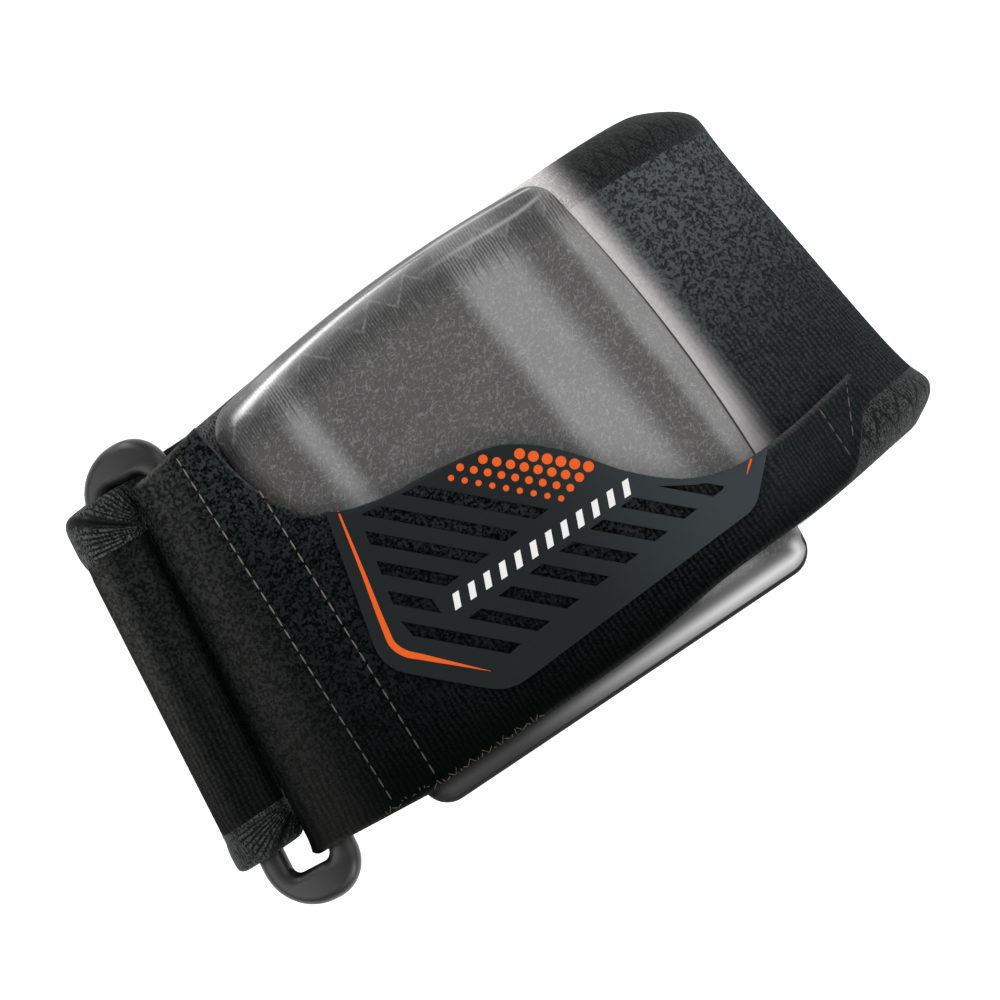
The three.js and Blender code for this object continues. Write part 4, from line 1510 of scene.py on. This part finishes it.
class ELBOW_OT_prints(bpy.types.Operator):
    """Print the accent lines and the plain marks on the patch"""

    bl_idname = "elbow_support.prints"
    bl_label = "Print Lines and Marks"

    def line(self, rows):
        """Outline of a line whose width changes along it."""
        samples = 60
        table = np.array(rows) * MM
        along = lengths_along(table[:, :2])
        at = np.linspace(0, along[-1], samples)
        x, y, width = (smooth_table(along, table[:, column])(at) for column in range(3))
        middle = np.stack([x, y], axis=-1)
        side = left_of(unit(np.gradient(middle, axis=0))) * width[:, None] / 2
        return list(middle + side) + list((middle - side)[::-1])

    def dashes(self):
        """A row of plain slanted dashes along the patch's bare strip."""
        first, pitch, count = -15.4, 2.9, 12
        low, high, slant, width = -10.6, -8.2, 1.0, 1.15
        outlines = []
        for index in range(count):
            x = first + pitch * index
            corners = [(x, low), (x + width, low), (x + width + slant, high), (x + slant, high)]
            outlines.append([np.array(corner) * MM for corner in corners])
        return outlines

    def dots(self):
        """Rows of dots between the first slot and the wavy edge, smaller towards the slot."""
        patch = sizes().patch
        along = heading(math.degrees(patch.slot_angle))
        across = heading(math.degrees(patch.slot_angle) + 90)
        first, first_row, pitch, row_pitch, rows, columns = -8.2, 2.0, 2.2, 1.9, 5, 12
        edge_gap, lowest, smallest, largest, corners = 0.55, -5.2, 0.5, 1.0, 16
        turned = heading(np.linspace(0, 360, corners, endpoint=False))
        outlines = []
        for row in range(rows):
            radius = lerp(smallest, largest, row / (rows - 1))
            for index in range(columns):
                step = index + 0.5 * (row % 2)
                spot = along * (first + pitch * step) + across * (first_row + row * row_pitch)
                ring = (spot + radius * turned) * MM
                clear = np.all(strap_upper_edge(ring[:, 0]) - ring[:, 1] > edge_gap * MM)
                if clear and spot[1] > lowest:
                    outlines.append(list(ring))
        return outlines

    def mark(self, name, outlines, material):
        patch = sizes().patch
        bm = flat_plate(outlines, patch.print_height, patch.print_height / 3)
        slice_plate(bm)
        drape(bm, patch.thickness - patch.print_height / 4)
        make_piece(bm, name, material, 50)

    def execute(self, context):
        colours = sizes().colours
        orange = print_finish("orange_ink", colours.orange)
        for name, rows in ACCENT_LINES.items():
            self.mark(name, [self.line(rows)], orange)
        self.mark("dot_field", self.dots(), orange)
        self.mark("dash_row", self.dashes(), print_finish("white_ink", colours.white))
        return {"FINISHED"}


class ELBOW_OT_ring(bpy.types.Operator):
    """Make the plastic ring that the sleeve and the strap turn round"""

    bl_idname = "elbow_support.ring"
    bl_label = "Make Ring"

    def rectangle(self, width, ring_length, left_radius, right_radius):
        """Rectangle with round corners, in turn from the lower right."""
        half_width, half_length, corner_points = width / 2, ring_length / 2, 14
        corners = [(1, -1, right_radius), (1, 1, right_radius), (-1, 1, left_radius), (-1, -1, left_radius)]
        outline = []
        for quarter, (x_side, y_side, radius) in enumerate(corners):
            middle = np.array([x_side * (half_width - radius), y_side * (half_length - radius)])
            outline += list(middle + radius * heading(np.linspace(-90, 0, corner_points) + 90 * quarter))
        return outline

    def execute(self, context):
        ring = sizes().ring
        outer = self.rectangle(
            ring.bar_spacing + ring.bar_width, ring.length, ring.left_radius, ring.right_radius
        )
        slot = self.rectangle(
            ring.bar_spacing - ring.bar_width, ring.slot_length, ring.slot_radius, ring.slot_radius
        )
        bm = flat_plate([outer, slot], ring.thickness, ring.edge_radius)
        bmesh.ops.rotate(bm, verts=bm.verts, matrix=Matrix.Rotation(ring.skew, 3, "Z"))
        flat = np.array([vert.co[:] for vert in bm.verts])
        across, along, out = ring_axes()
        lifted = flat[:, 2:] - ring.thickness / 2
        move_points(bm, ring_centre() + flat[:, :1] * across + flat[:, 1:2] * along + lifted * out)
        make_piece(bm, "ring", ring_finish(), 35, ["strap_ring"])
        return {"FINISHED"}


class ELBOW_OT_thread(bpy.types.Operator):
    """Sew the seams of the strap and whip its lower edge"""

    bl_idname = "elbow_support.thread"
    bl_label = "Sew Thread"

    def stitch(self, bm, start, end, radius):
        start, end = Vector(start + PHOTO_MIDDLE), Vector(end + PHOTO_MIDDLE)
        turn = (end - start).to_track_quat("Z", "Y").to_matrix().to_4x4()
        shape = Matrix.Diagonal((radius, radius, (end - start).length / 2, 1))
        place = Matrix.Translation((start + end) / 2) @ turn @ shape
        bmesh.ops.create_uvsphere(bm, u_segments=8, v_segments=6, radius=1, matrix=place)

    def seam(self, bm, corners):
        thread = sizes().thread
        sunk_share = 0.35
        table = np.array(corners) * MM
        along = lengths_along(table)
        starts = np.arange(0, along[-1] - thread.dash, thread.pitch)
        ends = []
        for at in (starts, starts + thread.dash):
            x, y = np.interp(at, along, table[:, 0]), np.interp(at, along, table[:, 1])
            points = strap_top(x, y)
            bead = edge_bead(np.minimum(strap_upper_edge(x) - y, y - strap_lower_edge(x)))
            points[:, 2] += thread.radius * sunk_share + bead - seam_grooves(x, y)
            ends.append(points)
        for start, end in zip(*ends):
            self.stitch(bm, start, end, thread.radius)

    def whip(self, bm):
        """Slanted stitches over the strap's lower edge, between the ring and the pad."""
        strap = sizes().strap
        first, last, pitch, thinner = -42, -13, 0.8, 0.65
        foot, high_lift, low_lift = 0.3 * MM, 0.34 * MM, -0.04 * MM
        xs = np.arange(first, last, pitch) * MM
        order = np.arange(len(xs))
        sway = np.sin(order * 2.4) * 0.5 * MM
        climb = (1.0 + 0.35 * np.sin(order * 1.7)) * MM
        by_ring = lerp(strap.fold_lower, strap_lower_edge(strap.corner_x), 0.6)
        edge = np.where(xs < strap.corner_x, by_ring, strap_lower_edge(xs))
        high = strap_top(xs + sway, edge + climb, high_lift)
        low = strap_top(xs - sway, edge + foot, low_lift)
        for start, end in zip(high, low):
            self.stitch(bm, start, end, sizes().thread.radius * thinner)

    def execute(self, context):
        material = thread_finish()
        for name, lines in (("strap_seams", STITCH_LINES[:2]), ("tip_seams", STITCH_LINES[2:])):
            bm = bmesh.new()
            for corners in lines:
                self.seam(bm, corners)
            make_piece(bm, name, material, 80)
        bm = bmesh.new()
        self.whip(bm)
        make_piece(bm, "edge_stitches", material, 80)
        return {"FINISHED"}


class ELBOW_OT_stage(bpy.types.Operator):
    """Set the pale floor, the softboxes and the camera over the front"""

    bl_idname = "elbow_support.stage"
    bl_label = "Set Stage"

    def softbox(self, name, across, along, distance, width, box_length, radiance):
        lamp = bpy.data.lights.new(name, "AREA")
        lamp.shape = "RECTANGLE"
        lamp.size, lamp.size_y = width, box_length
        lamp.energy = radiance * math.pi * width * box_length
        holder = bpy.data.objects.new(name, lamp)
        away = Vector((math.tan(math.radians(across)), math.tan(math.radians(along)), 1)).normalized()
        length_way = (Vector((0, 1, 0)) - away * away.y).normalized()
        turn = Matrix((length_way.cross(away), length_way, away)).transposed().to_4x4()
        holder.matrix_world = Matrix.Translation(away * distance) @ turn
        holder.visible_camera = False
        bpy.context.scene.collection.objects.link(holder)

    def execute(self, context):
        stage, scene = sizes().stage, context.scene
        floor_gap = 0.2 * MM
        bm = bmesh.new()
        bmesh.ops.create_grid(bm, x_segments=1, y_segments=1, size=stage.floor_size / 2)
        bmesh.ops.translate(bm, verts=bm.verts, vec=(0, 0, -floor_gap))
        mesh = bpy.data.meshes.new("floor")
        bm.to_mesh(mesh)
        bm.free()
        pale = (*sizes().colours.floor, 1)
        glow = Finish(
            "floor", base_color=pale, roughness=0.9, emission_color=pale, emission_strength=stage.glow
        )
        mesh.materials.append(glow.material)
        floor = bpy.data.objects.new("floor", mesh)
        scene.collection.objects.link(floor)
        for name, settings in SOFTBOXES.items():
            self.softbox(name, *settings)
        scene.world = bpy.data.worlds.new("studio")
        scene.world.use_nodes = True
        scene.world.node_tree.nodes["Background"].inputs["Color"].default_value = (1, 1, 1, 1)
        scene.world.node_tree.nodes["Background"].inputs["Strength"].default_value = stage.ambient
        scene.view_settings.view_transform = "Standard"
        view = bpy.data.cameras.new("camera")
        view.lens = stage.lens
        distance = stage.frame_width * stage.lens / view.sensor_width
        camera = bpy.data.objects.new("camera", view)
        camera.location = Vector(PHOTO_MIDDLE) + Vector((0, 0, stage.strap_height + distance))
        camera.rotation_euler = (0, 0, stage.turn)
        scene.collection.objects.link(camera)
        scene.camera = camera
        return {"FINISHED"}


OPERATORS = [
    ELBOW_OT_stage,
    ELBOW_OT_sleeve,
    ELBOW_OT_hems,
    ELBOW_OT_pad,
    ELBOW_OT_ring,
    ELBOW_OT_strap,
    ELBOW_OT_patch,
    ELBOW_OT_prints,
    ELBOW_OT_thread,
]


class ELBOW_PT_support(bpy.types.Panel):
    bl_idname = "ELBOW_PT_support"
    bl_label = "Elbow Support"
    bl_space_type = "VIEW_3D"
    bl_region_type = "UI"
    bl_category = "Elbow Support"

    def draw(self, context):
        support = context.scene.elbow_support
        for operator in OPERATORS:
            self.layout.operator(operator.bl_idname)
        self.layout.prop(support, "fineness")
        for group in ("sleeve", "ring", "pad", "strap", "patch", "thread", "colours", "stage"):
            box = self.layout.box()
            box.label(text=group.title())
            for key in getattr(support, group).__annotations__:
                box.prop(getattr(support, group), key)


GROUPS = [
    SleeveSizes, RingSizes, PadSizes, StrapSizes, PatchSizes, ThreadSizes, Colours, StageSizes, ElbowSupport,
]
CLASSES = [*GROUPS, *OPERATORS, ELBOW_PT_support]


def register():
    for item in CLASSES:
        bpy.utils.register_class(item)
    bpy.types.Scene.elbow_support = PointerProperty(type=ElbowSupport)


def unregister():
    del bpy.types.Scene.elbow_support
    for item in reversed(CLASSES):
        bpy.utils.unregister_class(item)


def main():
    register()
    for operator in OPERATORS:
        group, name = operator.bl_idname.split(".")
        getattr(getattr(bpy.ops, group), name)()


if __name__ == "__main__":
    main()
